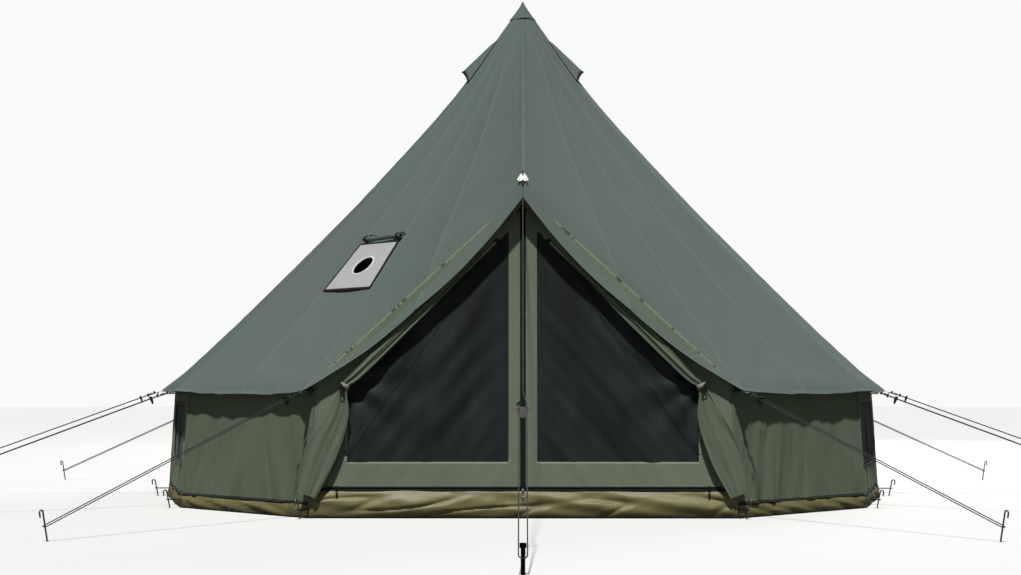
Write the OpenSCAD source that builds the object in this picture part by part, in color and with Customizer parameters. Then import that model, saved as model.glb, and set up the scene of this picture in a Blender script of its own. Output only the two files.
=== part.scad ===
// Canvas bell tent: a twelve-cornered cone on low walls, held up by a centre pole and an
// A-frame at the door, with a stove-pipe port, three roof vents, two mesh door leaves and twelve guys.
// Azimuth 0 is the door, on -Y, and azimuth grows towards +X. The ground is z = 0.

/* [Plan and height] */
// Radius from the centre to the wall corners, at the eave
plan_r = 2000; // [1600:20:2600]
// How much further out the corners stand at the ground
wall_flare = 35; // [0:5:80]
// Height of the eave edge
eave_z = 600; // [500:10:800]
// How far the eave corners stand out past the wall corners
eave_out = 60; // [40:5:100]
// Height of the roof canvas at the peak
peak_z = 2790; // [2300:10:3400]
// Radius of the hole that the roof canvas leaves at the peak
peak_r = 45; // [40:1:60]
// How far the corner lines of the roof sag below a straight line
roof_sag = 120; // [60:5:160]

/* [Cloth] */
// Thickness of the roof and wall canvas
canvas_t = 2; // [1.5:0.5:4]
// Thickness of the insect mesh
mesh_t = 1; // [1:0.5:2]
// Thickness of the groundsheet
sheet_t = 2; // [1.5:0.5:4]
// Gap left at each seam between two panels
seam_gap = 1; // [0.5:0.5:3]
// Height of the groundsheet's rim under the walls
rim_h = 60; // [40:5:90]
// Height of the zip between the rim and the wall
ring_zip_h = 10; // [6:1:16]
// Height of the groundsheet's rim across the doorway
threshold_h = 130; // [100:5:180]
// Width of a wall window
window_w = 800; // [500:10:860]
// Height of a wall window
window_h = 300; // [200:10:340]
// Height of a window's lower edge
window_z = 230; // [180:5:260]

/* [Peak and vents] */
// Height of the cap over the peak
cap_h = 106; // [90:2:140]
// Radius of the cap's hem
cap_r = 75; // [70:1:100]
// Radius of a vent hole
vent_r = 45; // [30:1:50]
// Radius from the centre to the lip of a vent hood
hood_r = 352; // [340:2:400]
// Height of a vent hood's lip over the roof below it
hood_rise = 85; // [60:5:120]

/* [Stove port] */
// Space left between the heat-proof patch and the seams on its two sides
patch_margin = 18; // [14:1:50]
// Length of the patch up the slope
patch_l = 340; // [260:5:400]
// Radius of the pipe hole in the patch
pipe_hole_r = 60; // [40:1:75]
// How far the canvas hole stands back from the pipe hole
pipe_clear = 12; // [5:1:30]
// Height of the patch's centre
patch_z = 1245; // [1150:5:1400]
// Width of the black binding round the patch
binding_w = 12; // [6:1:13]
// Radius of the rolled-up cover flap
roll_r = 16; // [10:1:25]

/* [Doorway] */
// Height of the roof ridge where the A-frame holds it
apex_z = 1620; // [1500:10:1750]
// How far the A-frame stands behind the plane of the door
frame_set = 22; // [20:1:30]
// How far the canvas tip reaches past the A-frame
tip_out = 120; // [80:5:180]
// How far the canvas tip hangs below the ridge
tip_drop = 100; // [60:5:160]
// Gap between the threshold and the door leaves
leaf_gap = 10; // [6:1:20]
// Drop from the ridge to the top of the door leaves
leaf_top_drop = 120; // [100:5:200]
// Distance from the wall corner to the lower corner of a leaf
leaf_inset = 67; // [60:1:120]
// Width of the canvas band along the centre zip
centre_band = 65; // [50:1:90]
// Height of the canvas band along the foot of a leaf
foot_band = 125; // [80:5:160]
// Width of the canvas border outside the mesh
side_border = 110; // [80:5:160]
// Gap between the two leaves, where the zip runs
zip_gap = 6; // [4:1:10]
// Gap along the fold line of a leaf
fold_gap = 4; // [3:1:8]

/* [Poles] */
// Outer radius of the centre pole's lower tube
pole_r = 14; // [12:1:20]
// Wall of the steel tubes
tube_wall = 1.2; // [1:0.1:2]
// Radial clearance where one tube slides into the next
tube_fit = 0.1; // [0.05:0.05:0.3]
// Height of the joint in the centre pole
pole_joint_z = 1450; // [1200:10:1600]
// Length of tube hidden inside the lower tube
pole_overlap = 100; // [60:5:160]
// Outer radius of the A-frame's tubes
frame_r = 9.5; // [8:0.5:14]
// Radius of the pin on top of the A-frame
pin_r = 4; // [3:0.5:5]

/* [Guys and pegs] */
// Radius of the side guys' pegs from the centre
guy_reach = 3600; // [3050:10:4000]
// How far the two front side guys are splayed away from the door, in degrees
guy_splay = 2; // [0:1:12]
// Distance of the front stake from the centre
stake_reach = 4290; // [3900:10:4600]
// Diameter of the guy rope
rope_d = 5; // [4:0.5:6]
// Distance between the two strands of a side guy
strand_gap = 24; // [24:1:36]
// Distance between the two strands of the front guy
front_strand_gap = 30; // [30:1:40]
// Distance from the eave ring to a side runner
runner_at = 90; // [80:5:300]
// Distance from the apex plate to the front runner
front_runner_at = 2100; // [1500:10:2300]
// Thickness of a runner plate
runner_t = 4; // [3:0.5:6]
// Gap between the rope and its hole in a runner
rope_clear = 0.5; // [0.3:0.1:1]
// Radius of a peg's wire
peg_r = 3.5; // [3:0.5:5]
// Length of a corner peg
peg_len = 95; // [90:5:150]
// Length of a guy peg
guy_peg_len = 130; // [110:5:180]
// Lean of a peg away from the tent, in degrees
peg_lean = 12; // [0:1:20]
// Radius of the front stake
stake_r = 7.5; // [6:0.5:9]
// Height of the front stake
stake_h = 104; // [90:2:140]

/* [Hidden] */
$fn = 48;

step = 30;                          // azimuth from one wall corner to the next
half = step / 2;
corners = [1:11];                   // every wall corner; the doorway takes the place of corner 0
sides = [1:10];                     // every wall side, from corner k to corner k + 1
windows = [2, 4, 7, 9];             // the sides that have a window
vents = [3, 6, 9];                  // the corner lines that carry a vent
stove_side = 10;                    // the side left of the door

canvas = "#5d6a5c";
canvas_dark = "#4b5648";
sheet_green = "#8a8658";
mesh_black = "#25292b";
steel = "#b9bcbf";
black = "#1a1b1c";
rope = "#4a4d48";

base_r = plan_r + wall_flare;
eave_r = plan_r + eave_out;
roof_steps = [0, 0.16, 0.42, 0.82, 1];

// ---- Places ----

function at(az, r, z) = [r * sin(az), -r * cos(az), z];
function along(az) = [cos(az), sin(az), 0];
function unit(v) = v / norm(v);

// The sag is deepest at three eighths of the way down from the peak
function sag_share(t) = pow(t, 0.6) * (1 - t) / (pow(0.375, 0.6) * 0.625);
function roof_r(t) = peak_r + t * (eave_r - peak_r);
function roof_z(t) = lookup(t, [for (s = roof_steps)
    [s, peak_z - s * (peak_z - eave_z) - roof_sag * sag_share(s)]]);
// Share of the way from the peak to the eave at a corner radius, and at a height
function roof_t(r) = (r - peak_r) / (eave_r - peak_r);
function roof_t_at(z) = lookup(-z, [for (s = roof_steps) [-roof_z(s), s]]);
// A point on the flat of a side, at any azimuth
function flat_r(az, r) = r * cos(half) / cos(half - (az % step + step) % step);
function roof_at(az, t) = at(az, flat_r(az, roof_r(t)), roof_z(t));
function roof_slope(t0, t1) = atan((roof_z(t0) - roof_z(t1)) / ((roof_r(t1) - roof_r(t0)) * cos(half)));
roof_drop = canvas_t * 1.5;         // the canvas, measured straight down

// The wall leans out a little, from the eave down to the ground
wall_top = roof_z(roof_t(plan_r)) - roof_drop - 6;
function wall_r(z) = base_r - wall_flare * z / wall_top;
hem_z = rim_h + ring_zip_h + 4;

// The doorway lies in one plane with the feet of the wall corners beside it
wall_lean = atan(wall_flare * cos(half) / wall_top);
door_lean = atan(wall_flare * cos(step) / wall_top);
function door_plane_y(z) = wall_r(z) * cos(step);
pin_y = door_plane_y(apex_z) - frame_set;
apex_y = pin_y + 10;

// ---- Cloth panels ----

// A sheet between two rails, thick from the outer rails to the inner ones
module sheet(a, b, a_in, b_in) {
    n = len(a);
    polyhedron(
        points = concat(a, b, a_in, b_in),
        faces = concat(
            [for (i = [0:n - 2]) each [[i, n + i, n + i + 1], [i, n + i + 1, i + 1]]],
            [for (i = [0:n - 2]) each [[2 * n + i, 3 * n + i + 1, 3 * n + i],
                                       [2 * n + i, 2 * n + i + 1, 3 * n + i + 1]]],
            [for (i = [0:n - 2]) each [[i, i + 1, 2 * n + i + 1], [i, 2 * n + i + 1, 2 * n + i]]],
            [for (i = [0:n - 2]) each [[n + i, 3 * n + i + 1, n + i + 1], [n + i, 3 * n + i, 3 * n + i + 1]]],
            [[0, 2 * n, 3 * n], [0, 3 * n, n]],
            [[n - 1, 2 * n - 1, 4 * n - 1], [n - 1, 4 * n - 1, 3 * n - 1]]),
        convexity = 4);
}

// A roof gore, from the rail at one azimuth to the rail at the next
function corner_rail(az) = [for (t = roof_steps) at(az, roof_r(t), roof_z(t))];
// The ridge over the door leaves the peak as steeply as the corners do, then runs out to the A-frame
ridge_start = [peak_r + 85, peak_z - 118];
ridge_rail = [
    at(0, peak_r, peak_z),
    at(0, ridge_start.x, ridge_start.y),
    at(0, 0.5 * (ridge_start.x + apex_y), 0.5 * (ridge_start.y + apex_z) - 20),
    at(0, apex_y, apex_z),
    at(0, apex_y + tip_out, apex_z - tip_drop)];
function shift(rail, v) = [for (p = rail) p + v];
module gore(rail_a, az_a, rail_b, az_b) {
    a = shift(rail_a, along(az_a) * seam_gap / 2);
    b = shift(rail_b, -along(az_b) * seam_gap / 2);
    down = [0, 0, -roof_drop];
    sheet(a, b, shift(a, down), shift(b, down));
}

// A flat panel of wall, rim or zip between two corners and two heights
module wall_strip(az_a, az_b, z_low, z_high, t, gap) {
    function rail(az, side, inset) = [for (z = [z_high, z_low])
        at(az, wall_r(z) - inset, z) + along(az) * side * gap / 2];
    sheet(rail(az_a, 1, 0), rail(az_b, -1, 0), rail(az_a, 1, t), rail(az_b, -1, t));
}

// Puts its children on the middle of a wall side: X along the wall, Y in, Z up
module on_wall(k, z) {
    translate(at((k + 0.5) * step, wall_r(z) * cos(half), z))
        rotate([0, 0, (k + 0.5) * step])
            rotate([-wall_lean, 0, 0])
                children();
}

// A tube along a flat path, with nrm square to the path's plane; wide in the plane, deep across it
module swept(path, nrm, wide, deep, count) {
    n = len(path);
    points = [for (i = [0:n - 1])
        let (
            tangent = unit(path[min(i + 1, n - 1)] - path[max(i - 1, 0)]),
            across = unit(cross(nrm, tangent)))
        each [for (j = [0:count - 1])
            let (a = 360 * j / count)
            path[i] + across * wide[i] * cos(a) + nrm * deep[i] * sin(a)]];
    polyhedron(
        points = points,
        faces = concat(
            [for (i = [0:n - 2]) for (j = [0:count - 1])
                let (a = i * count + j, b = i * count + (j + 1) % count)
                each [[a, b, b + count], [a, b + count, a + count]]],
            [[for (j = [count - 1:-1:0]) j]],
            [[for (j = [0:count - 1]) (n - 1) * count + j]]),
        convexity = 6);
}

// A round bar from p to q
module bar(p, q, r) {
    d = q - p;
    translate(p)
        rotate([0, acos(d.z / norm(d)), atan2(d.y, d.x)])
            cylinder(r = r, h = norm(d));
}

// A round tube from p to q
module pipe(p, q, r, r_in) {
    difference() {
        bar(p, q, r);
        bar(p - unit(q - p), q + unit(q - p), r_in);
    }
}

// A long ring of round wire: X along it, lying in XY
module link(length, r, wire_r) {
    for (side = [0, 180])
        rotate([0, 0, side]) {
            translate([length / 2, 0, 0])
                rotate([0, 0, -90])
                    rotate_extrude(angle = 180)
                        translate([r, 0])
                            circle(r = wire_r);
            translate([-length / 2, r, 0])
                rotate([0, 90, 0])
                    cylinder(r = wire_r, h = length);
        }
}

// ---- Groundsheet and walls ----

module groundsheet() color(sheet_green) {
    linear_extrude(sheet_t)
        polygon([for (k = corners) let (p = at(k * step, base_r, 0)) [p.x, p.y]]);
    for (k = sides)
        wall_strip(k * step, (k + 1) * step, sheet_t + seam_gap / 2, rim_h, sheet_t, seam_gap);
    // The threshold runs straight from the last corner to the first
    wall_strip(-step, step, sheet_t + seam_gap / 2, threshold_h, sheet_t, 2 * seam_gap);
}

module groundsheet_zip() color(black) {
    for (k = sides)
        wall_strip(k * step, (k + 1) * step, rim_h + 1, rim_h + ring_zip_h, canvas_t, seam_gap);
}

module wall_panels() color(canvas_dark) {
    for (k = sides)
        difference() {
            wall_strip(k * step, (k + 1) * step, hem_z, wall_top, canvas_t, seam_gap);
            if (len(search(k, windows)) > 0)
                on_wall(k, window_z + window_h / 2)
                    cube([window_w, 6 * canvas_t, window_h], center = true);
        }
}

// ---- Roof ----

module roof_gores() color(canvas) {
    for (k = sides)
        difference() {
            gore(corner_rail(k * step), k * step, corner_rail((k + 1) * step), (k + 1) * step);
            if (k == stove_side)
                on_stove_port()
                    cylinder(r = pipe_hole_r + pipe_clear, h = 40, center = true);
            for (v = vents)
                if (k == v || k + 1 == v)
                    on_vent(v)
                        cylinder(r = vent_r, h = 60, center = true);
        }
    difference() {
        gore(ridge_rail, 0, corner_rail(step), step);
        ridge_pin_hole();
    }
    difference() {
        gore(corner_rail(-step), -step, ridge_rail, 0);
        ridge_pin_hole();
    }
}

module ridge_pin_hole() {
    translate([0, -pin_y, apex_z])
        cylinder(r = pin_r + 5, h = 60, center = true);
}

cap_gap = 3.45;                     // between the cap's inner face and the roof's corner lines
module peak_cap() color(canvas) {
    wall = canvas_t * 1.5;
    // The inner face clears the roof both under the hem and at the ring round the peak
    rise_to_ring = (cap_h - 2 * wall) * (1 - peak_r / (cap_r - wall));
    hem = max(roof_z(roof_t(cap_r - wall)), peak_z - rise_to_ring) + cap_gap;
    rotate_extrude()
        polygon([[cap_r - wall, hem], [cap_r, hem], [3, hem + cap_h], [0, hem + cap_h],
            [0, hem + cap_h - 2 * wall]]);
}

// Puts its children on a corner line of the roof where the vent hole is, Z outwards
vent_t = roof_t(hood_r - 60);
module on_vent(k) {
    translate(at(k * step, roof_r(vent_t), roof_z(vent_t)))
        rotate([0, 0, k * step])
            rotate([atan((roof_z(0) - roof_z(0.16)) / (roof_r(0.16) - roof_r(0))), 0, 0])
                children();
}

// A canvas visor over each vent: a peak on the corner line and an arched lip
hood_root_r = hood_r - 190;
root_az = 4;                        // from the corner line to the two middle points of the root
hood_gap = 0.1;
// The root runs straight from flat to flat, so at the corner line it is this far inside the roof
root_sink = hood_root_r * (1 - cos(half) * cos(root_az) / cos(half - root_az));
hood_slope = (roof_z(roof_t(hood_root_r)) - roof_z(roof_t(hood_r - 12))) / (hood_r - 12 - hood_root_r);
module vent_hoods() color(canvas) {
    lip_z = roof_z(roof_t(hood_r - 17)) + hood_rise;
    lift = [0, 0, hood_gap + (canvas_t + root_sink) * hood_slope];
    for (k = vents) {
        az = k * step;
        foot_t = roof_t(hood_r - 12);
        apex_t = roof_t(hood_root_r);
        lip = [
            roof_at(az - 24, foot_t) + lift,
            roof_at(az - 17, foot_t) + [0, 0, 0.7 * hood_rise],
            at(az - 6, hood_r - 5, lip_z - 4),
            at(az + 6, hood_r - 5, lip_z - 4),
            roof_at(az + 17, foot_t) + [0, 0, 0.7 * hood_rise],
            roof_at(az + 24, foot_t) + lift];
        root = [for (a = [-22, -12, -root_az, root_az, 12, 22]) roof_at(az + a, apex_t) + lift];
        inward = -at(az, canvas_t, 0);
        up = [0, 0, canvas_t];
        sheet(shift(lip, up), shift(root, up), shift(lip, inward), shift(root, inward));
    }
}

// ---- Stove port ----

// The patch fills the strip between the corner seam and the seam up the middle of its side.
// Its frame has X along the eave from the middle seam, Y up the slope and Z outwards.
stove_mid = (stove_side + 0.5) * step;
stove_corner_r = roof_r(roof_t_at(patch_z));
strip_w = stove_corner_r * sin(half);
strip_taper = sin(half) / norm([cos(half), (roof_z(0.42) - roof_z(0.82)) / (roof_r(0.82) - roof_r(0.42))]);
pipe_x = strip_w / 2;
module on_stove_side() {
    translate(at(stove_mid, stove_corner_r * cos(half), patch_z))
        rotate([0, 0, stove_mid])
            rotate([roof_slope(0.42, 0.82), 0, 0])
                children();
}
module on_stove_port() {
    on_stove_side()
        translate([pipe_x, 0, 0])
            children();
}

// The strip's outline, kept back from its seams and cut to the patch's length
module strip_outline(margin, length) {
    lean = strip_taper * length / 2;
    polygon([[margin, -length / 2], [strip_w + lean - margin, -length / 2],
        [strip_w - lean - margin, length / 2], [margin, length / 2]]);
}

module stove_patch() color("#b4b5b8") {
    on_stove_side()
        difference() {
            translate([0, 0, 0.5])
                linear_extrude(canvas_t)
                    strip_outline(patch_margin, patch_l);
            translate([pipe_x, 0, 0])
                cylinder(r = pipe_hole_r, h = 40, center = true);
        }
}

module stove_binding() color(black) {
    on_stove_side()
        translate([0, 0, 0.5])
            linear_extrude(canvas_t + 1)
                difference() {
                    strip_outline(patch_margin - binding_w, patch_l + 2 * binding_w);
                    strip_outline(patch_margin - 0.5, patch_l + 1);
                }
}

roll_l = strip_w - 60;
roll_y = patch_l / 2 + binding_w + roll_r + 2;
module stove_flap() color(canvas_dark) {
    on_stove_port()
        translate([-roll_l / 2, roll_y, roll_r + 1])
            rotate([0, 90, 0])
                cylinder(r = roll_r, h = roll_l);
}

// ---- Doorway ----

leaf_bottom = threshold_h + leaf_gap;
leaf_top = apex_z - leaf_top_drop;
leaf_w = base_r * sin(step) - leaf_inset;
shoulder = [plan_r * sin(step) - 170, eave_z + 20];
fold = unit([leaf_w, leaf_bottom - leaf_top]);
fold_out = [-fold.y, fold.x];

// Puts its children on the doorway: X across it, Z up it, its outer face at Y = 0
module on_door() {
    translate([0, -door_plane_y(0), 0])
        rotate([-door_lean, 0, 0])
            children();
}

// Draws a flat outline of the doorway, seen from the front, as a plate behind the outer face
module door_plate(t) {
    on_door()
        translate([0, t, 0])
            rotate([90, 0, 0])
                linear_extrude(t)
                    children();
}

// The triangle between the centre line, the foot of the leaf and the fold line moved out by grow
module fold_outline(x, z, grow) {
    fold_z = leaf_top - x * (leaf_top - leaf_bottom) / leaf_w;
    fold_x = leaf_w + (leaf_bottom - z) * leaf_w / (leaf_top - leaf_bottom);
    polygon([[x, z], [fold_x + grow / fold_out.x, z], [x, fold_z + grow / fold_out.y]]);
}

module leaf_outline() fold_outline(zip_gap / 2, leaf_bottom, -fold_gap / 2);
module leaf_clearance() fold_outline(-seam_gap, leaf_bottom - 4, fold_gap / 2);

// Insect mesh fills the middle of the doorway's half
module mesh_outline() {
    inner = centre_band + zip_gap / 2;
    polygon([[inner, leaf_bottom + foot_band], [leaf_w - side_border, leaf_bottom + foot_band],
        [shoulder.x + 10, shoulder.y], [inner + 16, leaf_top - 140], [inner, leaf_top - 135]]);
}

// From the fold line out to the wall corner and up under the roof
module surround_outline() {
    polygon([[seam_gap, apex_z - 55], [plan_r * sin(step) - 22, wall_top - 22],
        [base_r * sin(step) - 8, leaf_bottom - 4], [seam_gap, leaf_bottom - 4]]);
}

module leaf_frame() {
    door_plate(canvas_t)
        difference() {
            leaf_outline();
            mesh_outline();
        }
}

module leaf_mesh() {
    door_plate(mesh_t)
        intersection() {
            leaf_outline();
            mesh_outline();
        }
}

module door_frame_right() color(canvas_dark) leaf_frame();
module door_frame_left() color(canvas_dark) mirror([1, 0, 0]) leaf_frame();
module door_mesh_right() color(mesh_black) leaf_mesh();
module door_mesh_left() color(mesh_black) mirror([1, 0, 0]) leaf_mesh();

module both_sides() {
    children();
    mirror([1, 0, 0])
        children();
}

module door_surround() color(canvas_dark) {
    both_sides()
        door_plate(canvas_t)
            difference() {
                surround_outline();
                leaf_clearance();
                mesh_outline();
            }
}

module insect_screens() color(mesh_black) {
    both_sides()
        door_plate(mesh_t)
            difference() {
                mesh_outline();
                leaf_clearance();
            }
    for (k = windows)
        on_wall(k, window_z + window_h / 2)
            translate([0, canvas_t / 2, 0])
                cube([window_w - seam_gap, mesh_t, window_h - seam_gap], center = true);
    for (k = vents)
        on_vent(k)
            translate([0, 0, -8])
                cylinder(r = vent_r - seam_gap, h = mesh_t);
}

// The canvas door, gathered and tied back: down behind the roof's edge to the tie, then flaring out
tie = [shoulder.x + 15, shoulder.y + 5];
tie_lean = 22;                      // of the gathered cloth at the tie, in degrees
bundle_out = 42;                    // in front of the doorway
function edge_z(x) = apex_z - tip_drop - x * (apex_z - tip_drop - eave_z) / (eave_r * sin(step));
module outer_door() {
    path = concat(
        [for (share = [0.24, 0.64, 0.94]) [share * tie.x, edge_z(share * tie.x) - 40 - 0.1 * share * tie.x]],
        [tie,
            [tie.x + 28, tie.y - 130],
            [leaf_w - 5, 0.5 * (tie.y + leaf_bottom) - 60],
            [leaf_w + 70, peg_len + 14]]);
    wide = [14, 26, 24, 17, 50, 78, 48];
    deep = [10, 18, 20, 16, 18, 18, 14];
    on_door()
        swept([for (p = path) [p.x, -bundle_out, p.y]], [0, 1, 0], wide, deep, 12);
}
module outer_door_right() color(canvas) outer_door();
module outer_door_left() color(canvas) mirror([1, 0, 0]) outer_door();

// ---- Zip sliders ----

// A slider body with its pull tab hanging down, both clear of the outer face
module slider(x, z, w) {
    on_door()
        translate([x, -2, z]) {
            translate([-w / 2, -8, -10])
                cube([w, 8, 20]);
            translate([-w / 3, -13, -52])
                cube([2 * w / 3, 3, 50]);
            translate([-w / 3, -13, -8])
                cube([2 * w / 3, 6, 6]);
        }
}

// At rest it has run off the foot of the zip, just under both leaves
module zip_slider_centre() color(black) slider(0, leaf_bottom - 12, 16);
slider_rest_x = leaf_w - 70;
module zip_slider_right() color(black) slider(slider_rest_x, leaf_bottom + 2, 14);
module zip_slider_left() color(black) slider(-slider_rest_x, leaf_bottom + 2, 14);

// ---- Poles ----

foot_h = 10;
module pole_foot() color(black) {
    translate([0, 0, sheet_t])
        difference() {
            union() {
                cylinder(r = 2.2 * pole_r, h = foot_h);
                cylinder(r = pole_r + 4, h = 3 * foot_h);
            }
            translate([0, 0, foot_h])
                cylinder(r = pole_r + tube_fit, h = 3 * foot_h);
        }
}

module pole_lower() color(steel) {
    translate([0, 0, sheet_t + foot_h])
        difference() {
            cylinder(r = pole_r, h = pole_joint_z - sheet_t - foot_h);
            translate([0, 0, -1])
                cylinder(r = pole_r - tube_wall, h = pole_joint_z);
        }
}

upper_r = pole_r - tube_wall - tube_fit;
pole_top = peak_z - 50;
module pole_upper() color(steel) {
    translate([0, 0, pole_joint_z - pole_overlap])
        difference() {
            cylinder(r = upper_r, h = pole_top - pole_joint_z + pole_overlap);
            translate([0, 0, -1])
                cylinder(r = upper_r - tube_wall, h = pole_top);
        }
}

module pole_crown() color(black) {
    translate([0, 0, pole_top - 30])
        difference() {
            union() {
                cylinder(r = upper_r + 6, h = 96);
                translate([0, 0, 96])
                    sphere(r = upper_r + 6);
            }
            translate([0, 0, -1])
                cylinder(r = upper_r + tube_fit, h = 31);
        }
}

crown_p = [0, -pin_y, apex_z - 38];
foot_p = [leaf_w - 12, frame_set + 2 - door_plane_y(0), sheet_t + 22];
leg_dir = unit(foot_p - crown_p);
function mirrored(p) = [-p.x, p.y, p.z];

module a_frame_right() color(steel)
    pipe(crown_p + leg_dir * 32, foot_p, frame_r, frame_r - tube_wall);
module a_frame_left() color(steel)
    pipe(mirrored(crown_p + leg_dir * 32), mirrored(foot_p), frame_r, frame_r - tube_wall);

module a_frame_crown() color(steel) {
    difference() {
        union() {
            both_sides()
                bar(crown_p, crown_p + leg_dir * 110, frame_r + 3);
            translate(crown_p)
                sphere(r = frame_r + 3);
            translate(crown_p)
                cylinder(r = pin_r, h = 85);
        }
        both_sides()
            bar(crown_p + leg_dir * 32, crown_p + leg_dir * 112, frame_r + tube_fit);
    }
}

module a_frame_feet() color(black) {
    both_sides()
        translate([foot_p.x, foot_p.y, sheet_t + seam_gap / 2])
            difference() {
                cylinder(r = frame_r + 7, h = 44);
                translate(-[foot_p.x, foot_p.y, sheet_t + seam_gap / 2])
                    bar(foot_p + leg_dir * tube_fit, foot_p - leg_dir * 80, frame_r + tube_fit);
            }
}

// ---- Guys ----

ring_out = 50;                      // from the eave corner to the ring at the end of its strap
ring_drop = 8;                      // below the eave edge
hold_z = 62;                        // height of the rope on a peg
rope_r = rope_d / 2;

function guy_az(k) = k * step + (k == 1 ? guy_splay : k == 11 ? -guy_splay : 0);
// Start, peg point, rope radius of turn and runner distance of a guy; guy 0 is the front one
function guy_start(k) = k == 0
    ? [0, -pin_y - 36, apex_z - 13]
    : at(k * step, eave_r + ring_out + 9, eave_z - ring_drop);
function guy_end(k) = k == 0 ? at(0, stake_reach, hold_z) : at(guy_az(k), guy_reach, hold_z);
function guy_turn(k) = (k == 0 ? front_strand_gap : strand_gap) / 2;
function guy_runner_at(k) = k == 0 ? front_runner_at : runner_at;
function guy_dir(k) = unit(guy_end(k) - guy_start(k));
function guy_side(k) = unit(cross(guy_dir(k), [0, 0, 1]));
function guy_span(k) = norm(guy_end(k) - guy_start(k));

// Puts its children on a guy's line: Z down the rope, X across it, Y up and out
module on_guy(k, distance) {
    d = guy_dir(k);
    v = guy_side(k);
    w = cross(d, v);
    o = guy_start(k) + d * distance;
    multmatrix([[v.x, w.x, d.x, o.x], [v.y, w.y, d.y, o.y], [v.z, w.z, d.z, o.z]])
        children();
}

// Routes, as distance down the guy and distance across it. The far end goes round the peg
// with a turn of half the strand gap, and comes back up through the runner to a knot.
function turn_route(span, turn, side) = [
    [span, side], [span + 0.7 * turn, side + 0.3 * turn], [span + turn, side + turn],
    [span + 0.7 * turn, side + 1.7 * turn], [span, side + 2 * turn]];
function guy_route(k) = let (turn = guy_turn(k), span = guy_span(k) - turn + peg_room(k)) k == 0
    ? concat([[0, 0], [front_runner_at - 150, 0], [front_runner_at - 20, -turn]],
        turn_route(span, turn, -turn), [[front_runner_at - 45, turn]])
    : concat([[0, -turn]], turn_route(span, turn, -turn), [[runner_at - 45, turn]]);
// The peg stands inside the turn and touches the rope's far side
function peg_room(k) = (rope_r + (k == 0 ? stake_r : peg_r) + 0.6) / norm([guy_dir(k).x, guy_dir(k).y]);

module guy_rope(k) color(rope) {
    path = [for (p = guy_route(k)) guy_start(k) + guy_dir(k) * p.x + guy_side(k) * p.y];
    radius = [for (p = path) rope_r];
    swept(path, cross(guy_dir(k), guy_side(k)), radius, radius, 8);
}

// A three-hole triangle of plate; the strands run through the two lower holes
module three_hole_plate(gap, t) {
    hole = rope_r + rope_clear;
    linear_extrude(t)
        difference() {
            hull()
                for (p = [[-gap / 2, 0], [gap / 2, 0], [0, 0.8 * gap]])
                    translate(p)
                        circle(r = 2.2 * rope_d);
            for (x = [-gap / 2, gap / 2])
                translate([x, 0])
                    circle(r = hole);
            translate([0, 0.8 * gap])
                circle(r = hole);
        }
}

module guy_runner(k) color(k == 0 ? steel : black) {
    on_guy(k, guy_runner_at(k) - runner_t / 2)
        three_hole_plate(2 * guy_turn(k), runner_t);
}

// Hangs on the A-frame's pin, over the canvas; the front guy is tied to its two lower holes
module apex_plate() color("#e6e6e4") {
    translate([0, -pin_y, apex_z + 20])
        rotate([45, 0, 0])
            difference() {
                linear_extrude(runner_t)
                    difference() {
                        hull() {
                            translate([0, 0])
                                circle(r = 14);
                            for (x = [-16, 16])
                                translate([x, -34])
                                    circle(r = 11);
                        }
                        for (x = [-16, 16])
                            translate([x, -34])
                                circle(r = rope_r + rope_clear);
                    }
                rotate([-45, 0, 0])
                    cylinder(r = pin_r + 1, h = 60, center = true);
            }
}

module eave_rings() color(steel) {
    for (k = corners)
        translate(at(k * step, eave_r + ring_out, eave_z - ring_drop))
            rotate_extrude()
                translate([8, 0])
                    circle(r = 1.8);
}

module webbing_loops() color(canvas_dark) {
    // Straps sewn under the eave corners
    for (k = corners)
        rotate([0, 0, k * step])
            translate([-12, -eave_r - ring_out + 12, eave_z - ring_drop - 1])
                cube([24, ring_out + 24, 2]);
    // Ties round the gathered doors
    on_door()
        both_sides()
            translate([tie.x, -bundle_out, tie.y])
                rotate([0, -tie_lean, 0])
                    link(8, 21, 2.5);
}

module toggles() color(black) {
    on_door()
        both_sides()
            translate([tie.x + 30, -bundle_out - 32, tie.y - 34])
                rotate([0, 90, 0])
                    cylinder(r = 6, h = 38, center = true);
    on_stove_port()
        for (side = [-1, 1])
            translate([side * 0.42 * roll_l, roll_y + roll_r + 9, 0.5])
                cylinder(r = 7, h = 14);
}

// ---- Pegs ----

// A wire peg with a hooked top, standing on its tip; the hook opens away from the tent
module wire_peg(az, r, length) {
    hook = 2.6 * peg_r;
    translate(at(az, r, peg_r * sin(peg_lean)))
        rotate([0, 0, az])
            rotate([peg_lean, 0, 0]) {
                cylinder(r = peg_r, h = length - hook);
                translate([0, -hook, length - hook])
                    rotate([90, 0, 90])
                        rotate_extrude(angle = 180)
                            translate([hook, 0])
                                circle(r = peg_r);
                translate([0, -2 * hook, length - 3 * hook])
                    cylinder(r = peg_r, h = 2 * hook);
            }
}

corner_peg_r = base_r + 62;
module ground_pegs() color(steel) {
    for (k = corners)
        wire_peg(k * step, corner_peg_r, peg_len);
}

// The shank passes through the guy's peg point, inside the rope's turn
module guy_pegs() color(steel) {
    for (k = corners)
        wire_peg(guy_az(k), guy_reach - hold_z * tan(peg_lean), guy_peg_len);
}

module front_stake() color(black) {
    translate(at(0, stake_reach, 0)) {
        cylinder(r = stake_r, h = stake_h - 8);
        translate([0, 0, stake_h - 16])
            cylinder(r = stake_r + 4, h = 16);
    }
}

// Rubber rings from the foot of each wall corner to its peg
module peg_bands() color(black) {
    lift = 44;
    inner = base_r + 13;
    outer = corner_peg_r + lift * tan(peg_lean);
    for (k = corners)
        translate(at(k * step, 0.5 * (inner + outer), lift))
            rotate([0, 0, k * step - 90])
                link(outer - inner, 9, 2.5);
}

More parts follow.
